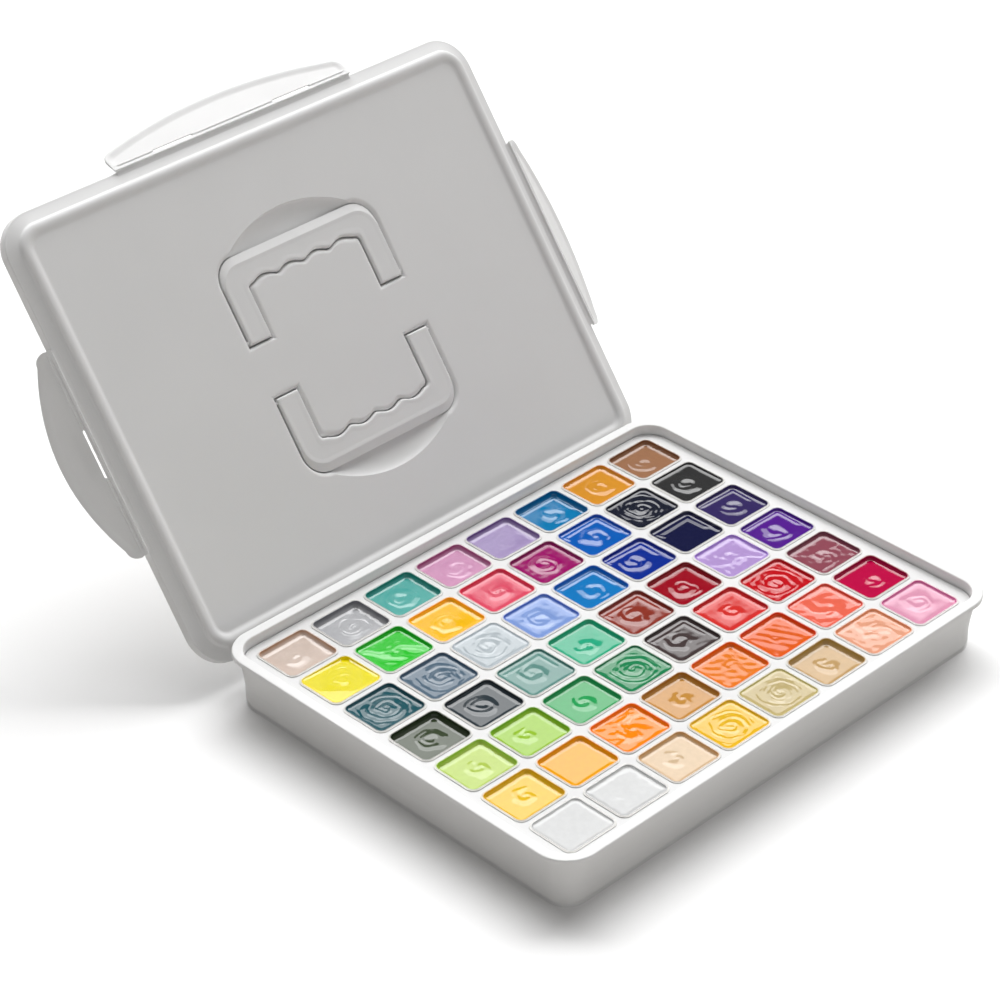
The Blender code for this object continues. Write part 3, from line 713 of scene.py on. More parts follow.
def grid_of(name, tree, names, cell, height, join, finish):
    obj = link(bpy.data.objects.new(name, bpy.data.meshes.new(name)))
    modifier = obj.modifiers.new("grid", "NODES")
    modifier.node_group = tree
    values = {"Cell": cell, "Columns": CUPS_ALONG, "Rows": CUPS_ACROSS, "Pitch X": CUP_PITCH_X,
              "Pitch Y": CUP_PITCH_Y, "Height": height, "Join Distance": join, "Finish": finish}
    for key, value in values.items():
        modifier[names[key]] = value
    settle(obj)
    bpy.data.objects.remove(cell)
    return obj


NEAR = MM / 20
SAME_PLACE = NEAR / 10
DECK_OUTER = (TRAY_HALF_X - RIM_WIDTH - SEAT_GAP, TRAY_HALF_Y - RIM_WIDTH - SEAT_GAP)
DECK_CORNER = RIM_CORNER - RIM_WIDTH - SEAT_GAP


def side_rows(mesh):
    """The grid's vertices along each of its four sides, in order."""
    limits = (CUPS_ALONG * CUP_PITCH_X / 2, CUPS_ACROSS * CUP_PITCH_Y / 2)
    rows = {}
    for axis, side in ((0, 1), (0, -1), (1, 1), (1, -1)):
        row = [v for v in mesh.verts if abs(v.co[axis] - side * limits[axis]) < NEAR]
        rows[(axis, side)] = sorted(row, key=lambda v: v.co[1 - axis])
    return rows


def widen_side(mesh, row, axis, side):
    """Joins one side of the grid to the tray's rim, and gives the new outer vertices."""
    cross = DECK_OUTER[1 - axis] - DECK_CORNER
    outer = []
    for vert in row:
        point = [0.0, 0.0, DECK_TOP]
        point[axis] = side * DECK_OUTER[axis]
        point[1 - axis] = max(-cross, min(cross, vert.co[1 - axis]))
        outer.append(mesh.verts.new(point))
    for i in range(len(row) - 1):
        if (outer[i].co - outer[i + 1].co).length > SAME_PLACE:
            mesh.faces.new((row[i], row[i + 1], outer[i + 1], outer[i]))
        else:
            mesh.faces.new((row[i], row[i + 1], outer[i]))
    return outer


def fill_corner(mesh, middle, first, last, side_x, side_y):
    """Closes one round corner of the deck between two widened sides."""
    arc = []
    for angle in quarter_turn(TRAY_CORNER_STEPS)[1:-1]:
        x = side_x * (DECK_OUTER[0] - DECK_CORNER + DECK_CORNER * math.cos(angle))
        y = side_y * (DECK_OUTER[1] - DECK_CORNER + DECK_CORNER * math.sin(angle))
        arc.append(mesh.verts.new((x, y, DECK_TOP)))
    mesh.faces.new([middle, first] + arc + [last])


def build_rack(tree, names, finish):
    """The rack: a deck of cells, widened to the tray's rim, then thickened and rounded at its holes."""
    obj = grid_of("cup_deck", tree, names, rack_cell(), DECK_TOP, MM / 50, finish)
    mesh = bmesh.new()
    mesh.from_mesh(obj.data)
    rows = side_rows(mesh)
    outers = {key: widen_side(mesh, row, *key) for key, row in rows.items()}
    for side_x in (1, -1):
        for side_y in (1, -1):
            end_x, end_y = (-1 if side > 0 else 0 for side in (side_x, side_y))
            middle, first = rows[(0, side_x)][end_y], outers[(0, side_x)][end_y]
            fill_corner(mesh, middle, first, outers[(1, side_y)][end_x], side_x, side_y)
    bmesh.ops.remove_doubles(mesh, verts=mesh.verts, dist=SAME_PLACE)
    bmesh.ops.dissolve_degenerate(mesh, edges=mesh.edges, dist=SAME_PLACE / 5)
    bmesh.ops.recalc_face_normals(mesh, faces=mesh.faces)
    if sum(face.normal.z for face in mesh.faces) < 0:
        bmesh.ops.reverse_faces(mesh, faces=mesh.faces)
    mesh.to_mesh(obj.data)
    mesh.free()
    thick = obj.modifiers.new("thick", "SOLIDIFY")
    thick.thickness = DECK_THICKNESS
    thick.offset = -1
    edge = obj.modifiers.new("edge", "BEVEL")
    edge.width = DECK_ROUND
    edge.segments = DECK_EDGE_STEPS
    edge.limit_method = "ANGLE"
    settle(obj)
    return dress(obj, finish, SOFTER_SHARP, even=True)


# Cups and paint
CUP_STEPS = 8
PAINT_CORNER_STEPS = 10
PAINT_SIDE_STEPS = 17
PAINT_RINGS = 46


def cup_outline(grow, steps=CUP_STEPS):
    return rounded_rectangle(CUP_LENGTH / 2 + grow, CUP_WIDTH / 2 + grow, CUP_CORNER + grow, steps)


def wall_inset(depth):
    """How far the cup's wall has drawn in at a depth below the mouth."""
    return CUP_TAPER * depth / CUP_DEPTH


def empty_cup():
    """One hollow cup about its own mouth: up the outside, over flange and bead, and down inside."""
    lip = CUP_LIP_ROUND
    soft = lip * 0.3
    step = -CUP_BEAD_HEIGHT
    outer = FLANGE_REACH
    inner = -CUP_WALL
    base = -CUP_DEPTH
    hollow = base + CUP_WALL
    profile = [
        (-CUP_TAPER - CUP_BASE_ROUND, base),
        (-CUP_TAPER - CUP_BASE_ROUND * 0.3, base + CUP_BASE_ROUND * 0.3),
        (-wall_inset(CUP_DEPTH - CUP_BASE_ROUND), base + CUP_BASE_ROUND),
        (-wall_inset(FLANGE_THICKNESS), -FLANGE_THICKNESS),
        (outer - soft, -FLANGE_THICKNESS),
        (outer, -FLANGE_THICKNESS + soft),
        (outer, step - lip),
        (outer - soft, step - soft),
        (outer - lip, step),
        (lip * 0.6, step),
        (lip * 0.2, step + soft),
        (0, -soft),
        (-soft, 0),
        (inner + lip, 0),
        (inner + soft, -soft),
        (inner - wall_inset(lip), -lip),
        (inner - wall_inset(CUP_DEPTH - CUP_BASE_ROUND), hollow + CUP_BASE_ROUND),
        (inner - wall_inset(CUP_DEPTH) - CUP_BASE_ROUND, hollow),
    ]
    return solid("empty_cup", [[at_height(cup_outline(grow), z) for grow, z in profile]])


def seen(red, green, blue):
    """A colour as it looks on a screen, made linear."""
    parts = [part / 255 for part in (red, green, blue)]
    return tuple(part / 12.92 if part <= 0.04045 else ((part + 0.055) / 1.055) ** 2.4 for part in parts)


# Each paint's body colour, and the deeper colour it takes at and on the cup's wall: partly its thin film's
# own colour, partly painted shade of the cup's recess.
PAINT_COLOURS = {
    "white": ((192, 193, 193), (188, 188, 187)),
    "cream": ((206, 180, 146), (190, 138, 78)),
    "daffodil": ((224, 176, 30), (214, 168, 14)),
    "khaki": ((184, 166, 116), (168, 158, 82)),
    "beige": ((188, 154, 104), (148, 116, 50)),
    "peach": ((220, 156, 126), (214, 128, 82)),
    "pink": ((214, 148, 174), (196, 84, 142)),
    "yellow": ((224, 182, 28), (198, 150, 6)),
    "amber": ((228, 160, 6), (214, 132, 4)),
    "orange": ((240, 132, 4), (226, 96, 2)),
    "tan": ((190, 136, 60), (140, 84, 18)),
    "tangerine": ((222, 118, 24), (214, 74, 4)),
    "vermilion": ((216, 90, 18), (204, 42, 6)),
    "coral": ((226, 100, 78), (196, 46, 30)),
    "crimson": ((184, 0, 66), (120, 0, 44)),
    "lime": ((172, 196, 84), (134, 178, 44)),
    "leaf": ((146, 188, 48), (104, 158, 20)),
    "emerald": ((36, 156, 84), (8, 118, 62)),
    "viridian": ((24, 128, 78), (2, 84, 50)),
    "umber": ((66, 54, 54), (38, 28, 28)),
    "scarlet": ((204, 44, 40), (168, 4, 20)),
    "red": ((188, 6, 20), (160, 0, 14)),
    "mauve": ((138, 70, 84), (84, 34, 52)),
    "bronze_green": ((58, 70, 48), (26, 36, 20)),
    "charcoal": ((44, 54, 60), (16, 24, 30)),
    "sea_green": ((92, 138, 130), (44, 96, 88)),
    "mint": ((36, 164, 124), (6, 138, 98)),
    "maroon": ((136, 48, 34), (92, 18, 12)),
    "garnet": ((150, 0, 26), (98, 0, 14)),
    "lilac": ((172, 144, 200), (138, 100, 190)),
    "violet": ((80, 22, 136), (54, 6, 116)),
    "deep_teal": ((24, 80, 90), (4, 56, 68)),
    "slate": ((78, 100, 118), (34, 56, 80)),
    "ice": ((172, 181, 186), (150, 158, 166)),
    "periwinkle": ((122, 150, 206), (56, 88, 180)),
    "azure": ((14, 116, 184), (2, 70, 160)),
    "ultramarine": ((0, 40, 140), (0, 18, 110)),
    "midnight": ((14, 18, 60), (10, 12, 44)),
    "indigo": ((50, 38, 92), (30, 18, 70)),
    "lemon": ((226, 212, 0), (218, 194, 0)),
    "green": ((24, 190, 28), (4, 140, 16)),
    "gold": ((238, 182, 16), (242, 146, 0)),
    "rose": ((212, 70, 96), (206, 16, 56)),
    "magenta": ((150, 0, 98), (104, 0, 66)),
    "blue": ((0, 88, 176), (0, 54, 150)),
    "ink": ((24, 28, 44), (8, 10, 22)),
    "black": ((48, 48, 48), (12, 12, 12)),
    "sand": ((204, 186, 174), (156, 112, 80)),
    "silver": ((172, 173, 176), (78, 78, 84)),
    "teal": ((62, 162, 154), (2, 96, 84)),
    "orchid": ((200, 140, 178), (128, 40, 88)),
    "lavender": ((160, 142, 186), (80, 48, 108)),
    "cerulean": ((0, 120, 174), (0, 66, 112)),
    "ochre": ((212, 144, 42), (188, 112, 14)),
    "copper": ((156, 112, 82), (98, 56, 28)),
}
PAINTS = {paint: [seen(*colour) for colour in pair] for paint, pair in PAINT_COLOURS.items()}

# The cups from the front row to the row by the lid, left to right: the paint, how far it lies below
# the mouth in millimetres, how it was stirred, which way that is turned in degrees, and how strongly.
CUPS = (
    (
        ("white", 1.2, "still", 20, 0.5), ("white", 1.6, "patted", 160, 0.6),
        ("cream", 2.4, "comma", 30, 0.5), ("daffodil", 1.4, "stirred", 200, 1.0),
        ("khaki", 1.0, "stirred", 90, 0.9), ("beige", 3.6, "comma", 60, 1.3),
        ("peach", 1.8, "folded", 20, 0.9), ("pink", 1.8, "ring", 240, 0.8),
    ),
    (
        ("yellow", 2.8, "comma", 30, 0.7), ("amber", 2.6, "still", 0, 0.5),
        ("orange", 2.2, "folded", 130, 1.1), ("tan", 3.2, "comma", 70, 0.6),
        ("tangerine", 2.8, "patted", 0, 0.4), ("vermilion", 2.6, "patted", 90, 0.5),
        ("coral", 1.8, "folded", 200, 1.0), ("crimson", 2.6, "comma", 210, 0.7),
    ),
    (
        ("lime", 3.0, "comma", 70, 0.8), ("leaf", 2.8, "comma", 50, 0.7),
        ("emerald", 2.6, "comma", 110, 1.1), ("viridian", 1.2, "whirl", 40, 0.9),
        ("umber", 2.2, "hook", 40, 1.0), ("scarlet", 2.4, "comma", 60, 1.2),
        ("red", 2.0, "stirred", 150, 1.3), ("mauve", 2.6, "folded", 300, 0.9),
    ),
    (
        ("bronze_green", 4.2, "ring", 60, 0.8), ("charcoal", 2.6, "ring", 60, 1.1),
        ("sea_green", 1.4, "hook", 60, 0.9), ("mint", 2.6, "comma", 150, 1.0),
        ("maroon", 2.2, "hook", 50, 1.1), ("garnet", 2.8, "ring", 260, 1.1),
        ("lilac", 1.8, "folded", 250, 0.9), ("violet", 2.0, "hook", 200, 0.75),
    ),
    (
        ("deep_teal", 1.8, "whirl", 250, 1.1), ("slate", 1.8, "stirred", 40, 1.1),
        ("ice", 1.0, "stirred", 120, 0.7), ("periwinkle", 2.0, "ring", 30, 0.8),
        ("azure", 2.8, "hook", 250, 0.7), ("ultramarine", 2.2, "hook", 120, 1.2),
        ("midnight", 2.2, "banked", 10, 0.6), ("indigo", 2.2, "hook", 160, 0.6),
    ),
    (
        ("lemon", 0.8, "stirred", 330, 0.5), ("green", 2.2, "folded", 60, 0.9),
        ("gold", 2.2, "ring", 0, 0.8), ("rose", 2.4, "comma", 120, 1.3),
        ("magenta", 2.2, "ring", 200, 1.2), ("blue", 2.0, "hook", 300, 1.2),
        ("ink", 1.6, "whirl", 20, 0.85), ("black", 1.4, "ring", 70, 1.3),
    ),
    (
        ("sand", 3.2, "comma", 100, 0.45), ("silver", 4.4, "stirred", 90, 0.5),
        ("teal", 3.4, "ring", 100, 0.8), ("orchid", 3.2, "ring", 180, 0.6),
        ("lavender", 3.2, "faint", 200, 0.9), ("cerulean", 4.0, "hook", 230, 0.8),
        ("ochre", 2.4, "ring", 10, 0.5), ("copper", 3.2, "ring", 60, 0.5),
    ),
)

# How much of each mark a way of stirring leaves, in millimetres; turns have no unit.
STROKES = {
    "still": {},
    "faint": {"swell": 0.006, "spiral": 0.018, "pitch": 5.0},
    "patted": {"swell": 0.07, "curl": 0.10, "radius": 7.0, "turns": 0.6},
    "banked": {"streak": 0.36, "reach": 1.9},
    "comma": {"swell": 0.008, "curl": 0.46, "radius": 7.0, "turns": 1.1, "width": 1.9},
    "hook": {"swell": 0.02, "curl": 0.56, "radius": 9.6, "turns": 1.4, "width": 2.2, "streak": 0.3},
    "ring": {"swell": 0.015, "plateau": 0.14, "radius": 9.4, "turns": 1.8, "curl": 0.30, "width": 1.8},
    "folded": {"swell": 0.075, "fold": 0.3, "curl": 0.32, "radius": 8.4, "turns": 0.9, "width": 2.2},
    "stirred": {"swell": 0.035, "spiral": 0.12, "pitch": 6.0,
                "curl": 0.28, "radius": 6.4, "turns": 1.3, "width": 1.6},
    "whirl": {"swell": 0.03, "spiral": 0.21, "pitch": 5.6,
              "curl": 0.24, "radius": 5.0, "turns": 1.2, "width": 1.5},
}

# How many degrees a thick paint's level leans back from the front left corner.
LEANS = {
    "lemon": -3.4, "green": -1.6, "gold": -1.2, "crimson": -1.4, "azure": -1.3, "blue": -1.3, "lime": 0.8,
    "leaf": 0.4, "orange": -1.0, "tangerine": -0.7, "vermilion": -0.4, "amber": -1.1, "deep_teal": -1.3,
    "silver": 0.6, "sand": 0.8, "garnet": -0.6, "indigo": -0.5, "slate": -0.4, "tan": -0.4,
    "cerulean": -0.6, "ultramarine": -0.6, "daffodil": -0.5, "midnight": -0.6,
}


# How uneven hand stirring is. Heights and distances are in millimetres, as all about the paint's surface.
RIPPLE_WAVES = 6
OFF_CENTRE = 1.8
BEND = 1.7
BEND_SIZE = 13
SWELL_SIZE = 8
SPIRAL_UNEVEN_SIZE = 10
# The marks come in over these distances from the wall, and a spiral over these from its middle.
CALM_BAND = (0.3, 3.5)
SPIRAL_HEART = (0.0, 1.6)
SPIRAL_END = (11, 19)
PLATEAU_BEFORE = 0.8
PLATEAU_AFTER = 1.2
# A curl's groove beside its ridge, in widths of the ridge, and how far the curl winds in.
CURL_WINDS_IN = 0.82
GROOVE_DEPTH = 0.35
GROOVE_AWAY = 1.9


def ripple(x, y, dice, size):
    """Smooth unevenness from a few crossed waves."""
    total = np.zeros_like(x)
    for _ in range(RIPPLE_WAVES):
        angle = dice.uniform(0, TURN)
        count = dice.uniform(0.6, 1.5) * TURN / size
        total += np.sin(count * (x * math.cos(angle) + y * math.sin(angle)) + dice.uniform(0, TURN))
    return total / RIPPLE_WAVES


def smooth_step(value, low, high):
    share = np.clip((value - low) / (high - low), 0, 1)
    return share * share * (3 - 2 * share)


def curl_mark(x, y, radius, start, turns, width):
    """A ridge that a knife leaves: it winds inwards, swells in its middle and fades at both ends."""
    reach = np.hypot(x, y)
    angle = (np.arctan2(y, x) - start) % TURN
    height = np.zeros_like(x)
    for lap in range(math.ceil(turns) + 1):
        along = (angle + lap * TURN) / (TURN * turns)
        inside = np.clip(along, 0, 1)
        bulge = np.sin(np.pi * inside)
        across = (reach - radius * (1 - CURL_WINDS_IN * inside)) / (width * (0.5 + 0.8 * bulge))
        ridge = np.exp(-across * across) - GROOVE_DEPTH * np.exp(-(across + GROOVE_AWAY) ** 2)
        height += np.where(along <= 1, ridge * bulge ** 0.6, 0)
    return height


def stirred_height(x, y, to_wall, stroke, turn, strength, dice):
    """Height of the paint over its own level, and how far it was dragged, all in millimetres."""
    marks = STROKES[stroke]
    radius = marks.get("radius", 4.0)
    centre_x = dice.uniform(-OFF_CENTRE, OFF_CENTRE)
    centre_y = dice.uniform(-OFF_CENTRE, OFF_CENTRE)
    bend_x = x - centre_x + BEND * ripple(x, y, dice, BEND_SIZE)
    bend_y = y - centre_y + BEND * ripple(x, y, dice, BEND_SIZE)
    reach = np.hypot(bend_x, bend_y)
    angle = np.arctan2(bend_y, bend_x)
    calm = smooth_step(to_wall, *CALM_BAND)
    height = strength * marks.get("swell", 0) * ripple(x, y, dice, SWELL_SIZE) * calm
    drag = reach / marks.get("pitch", 4.6) * TURN + angle
    if "spiral" in marks:
        wave = np.sin(drag + turn + 0.9 * np.sin(drag + turn))
        uneven = np.clip(0.75 + 1.3 * ripple(x, y, dice, SPIRAL_UNEVEN_SIZE), 0, 1.5)
        reached = calm * smooth_step(reach, *SPIRAL_HEART) * (1 - smooth_step(reach, *SPIRAL_END))
        height += strength * marks["spiral"] * wave * uneven * reached
    if "curl" in marks:
        mark = curl_mark(bend_x, bend_y, radius, turn, marks["turns"], marks.get("width", 1.1))
        height += strength * marks["curl"] * mark * calm
    if "plateau" in marks:
        edge = smooth_step(reach, radius - PLATEAU_BEFORE, radius + PLATEAU_AFTER)
        height += strength * marks["plateau"] * (1 - edge)
    if "streak" in marks:
        across = to_wall - 3.6 - 1.2 * np.sin(0.5 * angle + turn)
        ends = smooth_step(bend_x * 0.5 + bend_y, 1.0, 5.0)
        height += strength * marks["streak"] * np.exp(-(across / marks.get("reach", 1.1)) ** 2) * ends
    if "fold" in marks:
        size = strength * marks["fold"]
        along = bend_y * math.cos(turn) - bend_x * math.sin(turn)
        across = bend_x * math.cos(turn) + bend_y * math.sin(turn) + 2.4 * np.sin(0.25 * along)
        height += size * 0.5 * np.tanh(across / 1.3) * calm
        height += 0.6 * size * np.exp(-((across - 5.0) / 1.5) ** 2) * calm
    return height, drag


def paint_plan():
    """The inside of a cup's mouth as points with their outward ways, and each ring's share of the way out."""
    points = []
    arcs = rounded_rectangle(INNER_HALF_X, INNER_HALF_Y, INNER_CORNER, PAINT_CORNER_STEPS)
    per_arc = PAINT_CORNER_STEPS + 1
    for quarter in range(4):
        arc = arcs[quarter * per_arc:(quarter + 1) * per_arc]
        start = arcs[((quarter + 1) % 4) * per_arc]
        last = arc[-1]
        points += arc
        for step in range(1, PAINT_SIDE_STEPS):
            share = step / PAINT_SIDE_STEPS
            points.append((last[0] + (start[0] - last[0]) * share, last[1] + (start[1] - last[1]) * share))
    points = np.array(points)
    shares = 1 - (1 - np.arange(1, PAINT_RINGS + 1) / PAINT_RINGS) ** 1.3
    middles = np.array((INNER_HALF_X, INNER_HALF_Y)) - INNER_CORNER
    away = np.sign(points) * np.maximum(np.abs(points) - middles, 0)
    return points, away / np.linalg.norm(away, axis=1)[:, None], shares


def wall_distance(x, y, inset):
    """Distance to the cup's wall where that wall is drawn in from the mouth by inset."""
    out_x = np.abs(x) - (INNER_HALF_X - INNER_CORNER)
    out_y = np.abs(y) - (INNER_HALF_Y - INNER_CORNER)
    outside = np.hypot(np.maximum(out_x, 0), np.maximum(out_y, 0))
    inside = np.minimum(np.maximum(out_x, out_y), 0)
    return INNER_CORNER - outside - inside - inset


FILM = 0.00010
FILM_OFF_WALL = 0.000015
PAINT_BOTTOM = 0.0090
FILM_RINGS = 4
# The share of its deeper colour, partly painted shade, that paint has at the wall, and over how many
# millimetres that fades.
DEEPER_AND_SHADE_AT_WALL = 0.85
DEEPER_AND_SHADE_REACH = 0.9
# How much of its depth the paint climbs at the wall and over how many millimetres, from least to most.
CLIMB_SHARE = (0.5, 0.75)
CLIMB_REACH = (0.6, 0.95)
CLIMB_UNEVEN = 0.35
CLIMB_SIZE = 11
TILT = 0.003
# Levels in millimetres below the mouth: the paint's highest, and the film's usual and highest top.
PAINT_HIGHEST = 0.12
FILM_TOP = 0.32
FILM_TOP_SIZE = 8
FILM_HIGHEST = 0.08
FILM_LEAST = 0.04


def ring_faces(count, rings):
    """Faces from a middle point out over rings of count points, with a flat face in the last ring."""
    faces = [(0, 1 + i, 1 + (i + 1) % count) for i in range(count)]
    for ring in range(rings - 1):
        low = 1 + ring * count
        for i in range(count):
            j = (i + 1) % count
            faces.append((low + i, low + count + i, low + count + j, low + j))
    faces.append(tuple(reversed(range(1 + (rings - 1) * count, 1 + rings * count))))
    return faces


def paint_body(cup, dice):
    """Points, faces, colours, dragging and film of one filling about the middle of its cup's mouth."""
    paint, depth, stroke, turn, strength = cup
    outline, away, shares = paint_plan()
    count = len(outline)
    climb = depth * dice.uniform(*CLIMB_SHARE)
    climb_reach = dice.uniform(*CLIMB_REACH)
    inset = wall_inset((depth - climb) * MM) + FILM
    edge = outline - away * inset
    flat = np.concatenate([[[0.0, 0.0]], (edge[None] * shares[:, None, None]).reshape(-1, 2)])
    x, y = flat[:, 0] / MM, flat[:, 1] / MM
    to_wall = np.maximum(wall_distance(flat[:, 0], flat[:, 1], inset), 0) / MM
    height, drag = stirred_height(x, y, to_wall, stroke, math.radians(turn), strength, dice)
    clinging = 1 + CLIMB_UNEVEN * ripple(x, y, dice, CLIMB_SIZE)
    height += climb * clinging * np.exp(-to_wall / climb_reach)
    lean = math.tan(math.radians(LEANS.get(paint, 0.0)))
    height += lean * (x + y) * math.sqrt(0.5)
    height += dice.uniform(-TILT, TILT) * x + dice.uniform(-TILT, TILT) * y
    level = np.minimum(height - depth, -PAINT_HIGHEST)
    rim_level = level[-count:]
    film_top = -FILM_TOP + FILM_TOP * ripple(outline[:, 0] / MM, outline[:, 1] / MM, dice, FILM_TOP_SIZE)
    film_top = np.minimum(np.maximum(film_top, rim_level + FILM_LEAST), -FILM_HIGHEST)
    points = [np.column_stack([flat, level * MM])]
    # Towards the wall and on its film the paint turns to its deeper colour: partly the film's own colour,
    # partly painted shade where paint meets the wall.
    deeper = [DEEPER_AND_SHADE_AT_WALL * np.exp(-to_wall / DEEPER_AND_SHADE_REACH)]
    for ring in range(1, FILM_RINGS + 1):
        share = ring / FILM_RINGS
        z = (rim_level + (film_top - rim_level) * share) * MM
        drawn = wall_inset(-z) + FILM * (1 - 0.6 * share)
        points.append(np.column_stack([outline - away * drawn[:, None], z]))
        deeper.append(np.full(count, 0.8 + 0.2 * share))
    for z in (film_top * MM, np.full(count, -PAINT_BOTTOM)):
        drawn = wall_inset(-z) + FILM_OFF_WALL
        points.append(np.column_stack([outline - away * drawn[:, None], z]))
        deeper.append(np.ones(count))
    body, deep = (np.array(colour) for colour in PAINTS[paint])
    share = np.concatenate(deeper)[:, None]
    colours = body * (1 - share) + deep * share
    faces = ring_faces(count, len(shares) + FILM_RINGS + 2)
    drags = np.concatenate([drag] + [drag[-count:]] * (FILM_RINGS + 2))
    return np.concatenate(points), faces, colours, drags, share[:, 0]


# How far at most a cup is shifted and lifted in millimetres, and turned in degrees.
CUP_PLAY = 0.15
CUP_LIFT = 0.12
CUP_TWIST = 0.4


def cup_settling(dice):
    """How a cup sits in its hole: shifted, lifted and turned a little."""
    aside = (dice.uniform(-CUP_PLAY, CUP_PLAY), dice.uniform(-CUP_PLAY, CUP_PLAY))
    shift = Vector((*aside, dice.uniform(0.0, CUP_LIFT))) * MM
    twist = math.radians(dice.uniform(-CUP_TWIST, CUP_TWIST))
    return Matrix.Translation(shift) @ Matrix.Rotation(twist, 4, "Z")


def cup_places():
    """Where each cup and its paint stand, by column and row."""
    places = {}
    for row in range(CUPS_ACROSS):
        for column in range(CUPS_ALONG):
            x, y = cup_centre(column, row)
            dice = random.Random(31 * row + column)
            places[(column, row)] = Matrix.Translation((x, y, MOUTH_Z)) @ cup_settling(dice)
    return places


def moved(points, place):
    """The points turned and shifted as the place says."""
    place = np.array(place)
    return points @ place[:3, :3].T + place[:3, 3]


def paint_mesh(name, bodies):
    """One mesh out of several fillings, with the colour, dragging and film share of each point; the film
    share also sets the painted glow.
    """
    faces = []
    start = 0
    for points, own_faces, *_ in bodies:
        faces += [tuple(start + index for index in face) for face in own_faces]
        start += len(points)
    points, colours, drags, films = (np.concatenate([body[part] for body in bodies]) for part in (0, 2, 3, 4))
    data = bpy.data.meshes.new(name)
    data.from_pydata(points.tolist(), [], faces)
    tone = data.attributes.new("paint_tone", "FLOAT_COLOR", "POINT")
    tone.data.foreach_set("color", np.column_stack([colours, np.ones(start)]).astype(np.float32).ravel())
    # The film share is also the mask of the paint's painted glow.
    for key, values in (("paint_drag", drags), ("paint_film", films)):
        own = data.attributes.new(key, "FLOAT", "POINT")
        own.data.foreach_set("value", values.astype(np.float32))
    return data


def build_paints(finish, places):
    """Two cups of paint to a piece, as the rack's pairs are named."""
    for row in range(CUPS_ACROSS):
        for pair in range(CUPS_ALONG // 2):
            bodies = []
            for column in (2 * pair, 2 * pair + 1):
                points, *rest = paint_body(CUPS[row][column], random.Random(100 * row + column + 7))
                bodies.append((moved(points, places[(column, row)]), *rest))
            name = f"paint_pair_r{row + 1}_c{pair + 1}"
            obj = link(bpy.data.objects.new(name, paint_mesh(name, bodies)))
            dress(obj, finish, PAINT_SHARP)
            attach(obj, "tray")
            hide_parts(f"cup_pair_r{row + 1}_c{pair + 1}")


# The share of its paint's colour that a cup takes at its mouth, over how many millimetres of flange that
# fades, and the share below the flange.
TINT_AT_MOUTH = 0.9
TINT_REACH = 0.42
TINT_BELOW = 0.6
MILKY_WHITE = (224, 222, 218)


def build_cups(tree, names, finish, places):
    """All the cups as one piece, each set as its paint is and tinted by it."""
    cell = empty_cup()
    per_cup = len(cell.data.vertices)
    obj = grid_of("paint_cups", tree, names, cell, 0.0, 0.0, finish)
    count = len(obj.data.vertices)
    points = np.zeros(count * 3)
    obj.data.vertices.foreach_get("co", points)
    points = points.reshape(-1, 3)
    tints = np.ones((count, 4), np.float32)
    milky = np.array(seen(*MILKY_WHITE))
    for start in range(0, count, per_cup):
        skin = points[start:start + per_cup]
        middle = (skin.min(0) + skin.max(0)) / 2
        column = round(middle[0] / CUP_PITCH_X + (CUPS_ALONG - 1) / 2)
        row = round(middle[1] / CUP_PITCH_Y + (CUPS_ACROSS - 1) / 2)
        x, y = cup_centre(column, row)
        own = skin - np.array((x, y, 0))
        points[start:start + per_cup] = moved(own, places[(column, row)])
        to_mouth = np.maximum(-wall_distance(own[:, 0], own[:, 1], 0) / MM - 0.2, 0)
        body, deep = (np.array(colour) for colour in PAINTS[CUPS[row][column][0]])
        share = (TINT_AT_MOUTH * np.exp(-to_mouth / TINT_REACH))[:, None]
        share = np.where(own[:, 2:3] < -FLANGE_THICKNESS - MM / 10, TINT_BELOW, share)
        # The tint takes half of the paint's deeper colour, painted shade included.
        tints[start:start + per_cup, :3] = milky * (1 - share) + (body + deep) / 2 * share
    obj.data.vertices.foreach_set("co", points.ravel())
    tint = obj.data.attributes.new("paint_tint", "FLOAT_COLOR", "POINT")
    tint.data.foreach_set("color", tints.ravel())
    obj.data.update()
    return dress(obj, finish, SOFTER_SHARP)


# Lid
LID_CORNER_STEPS = 18
CREST_STEPS = 8
SHOULDER_FILLET = 0.0006
SEAL_LIP_STEPS = 6


def lid_ring(inset, drop):
    corner = LID_CORNER - inset
    outline = rounded_rectangle(LID_HALF_X - inset, LID_HALF_Y - inset, corner, LID_CORNER_STEPS)
    return at_height(outline, -drop)


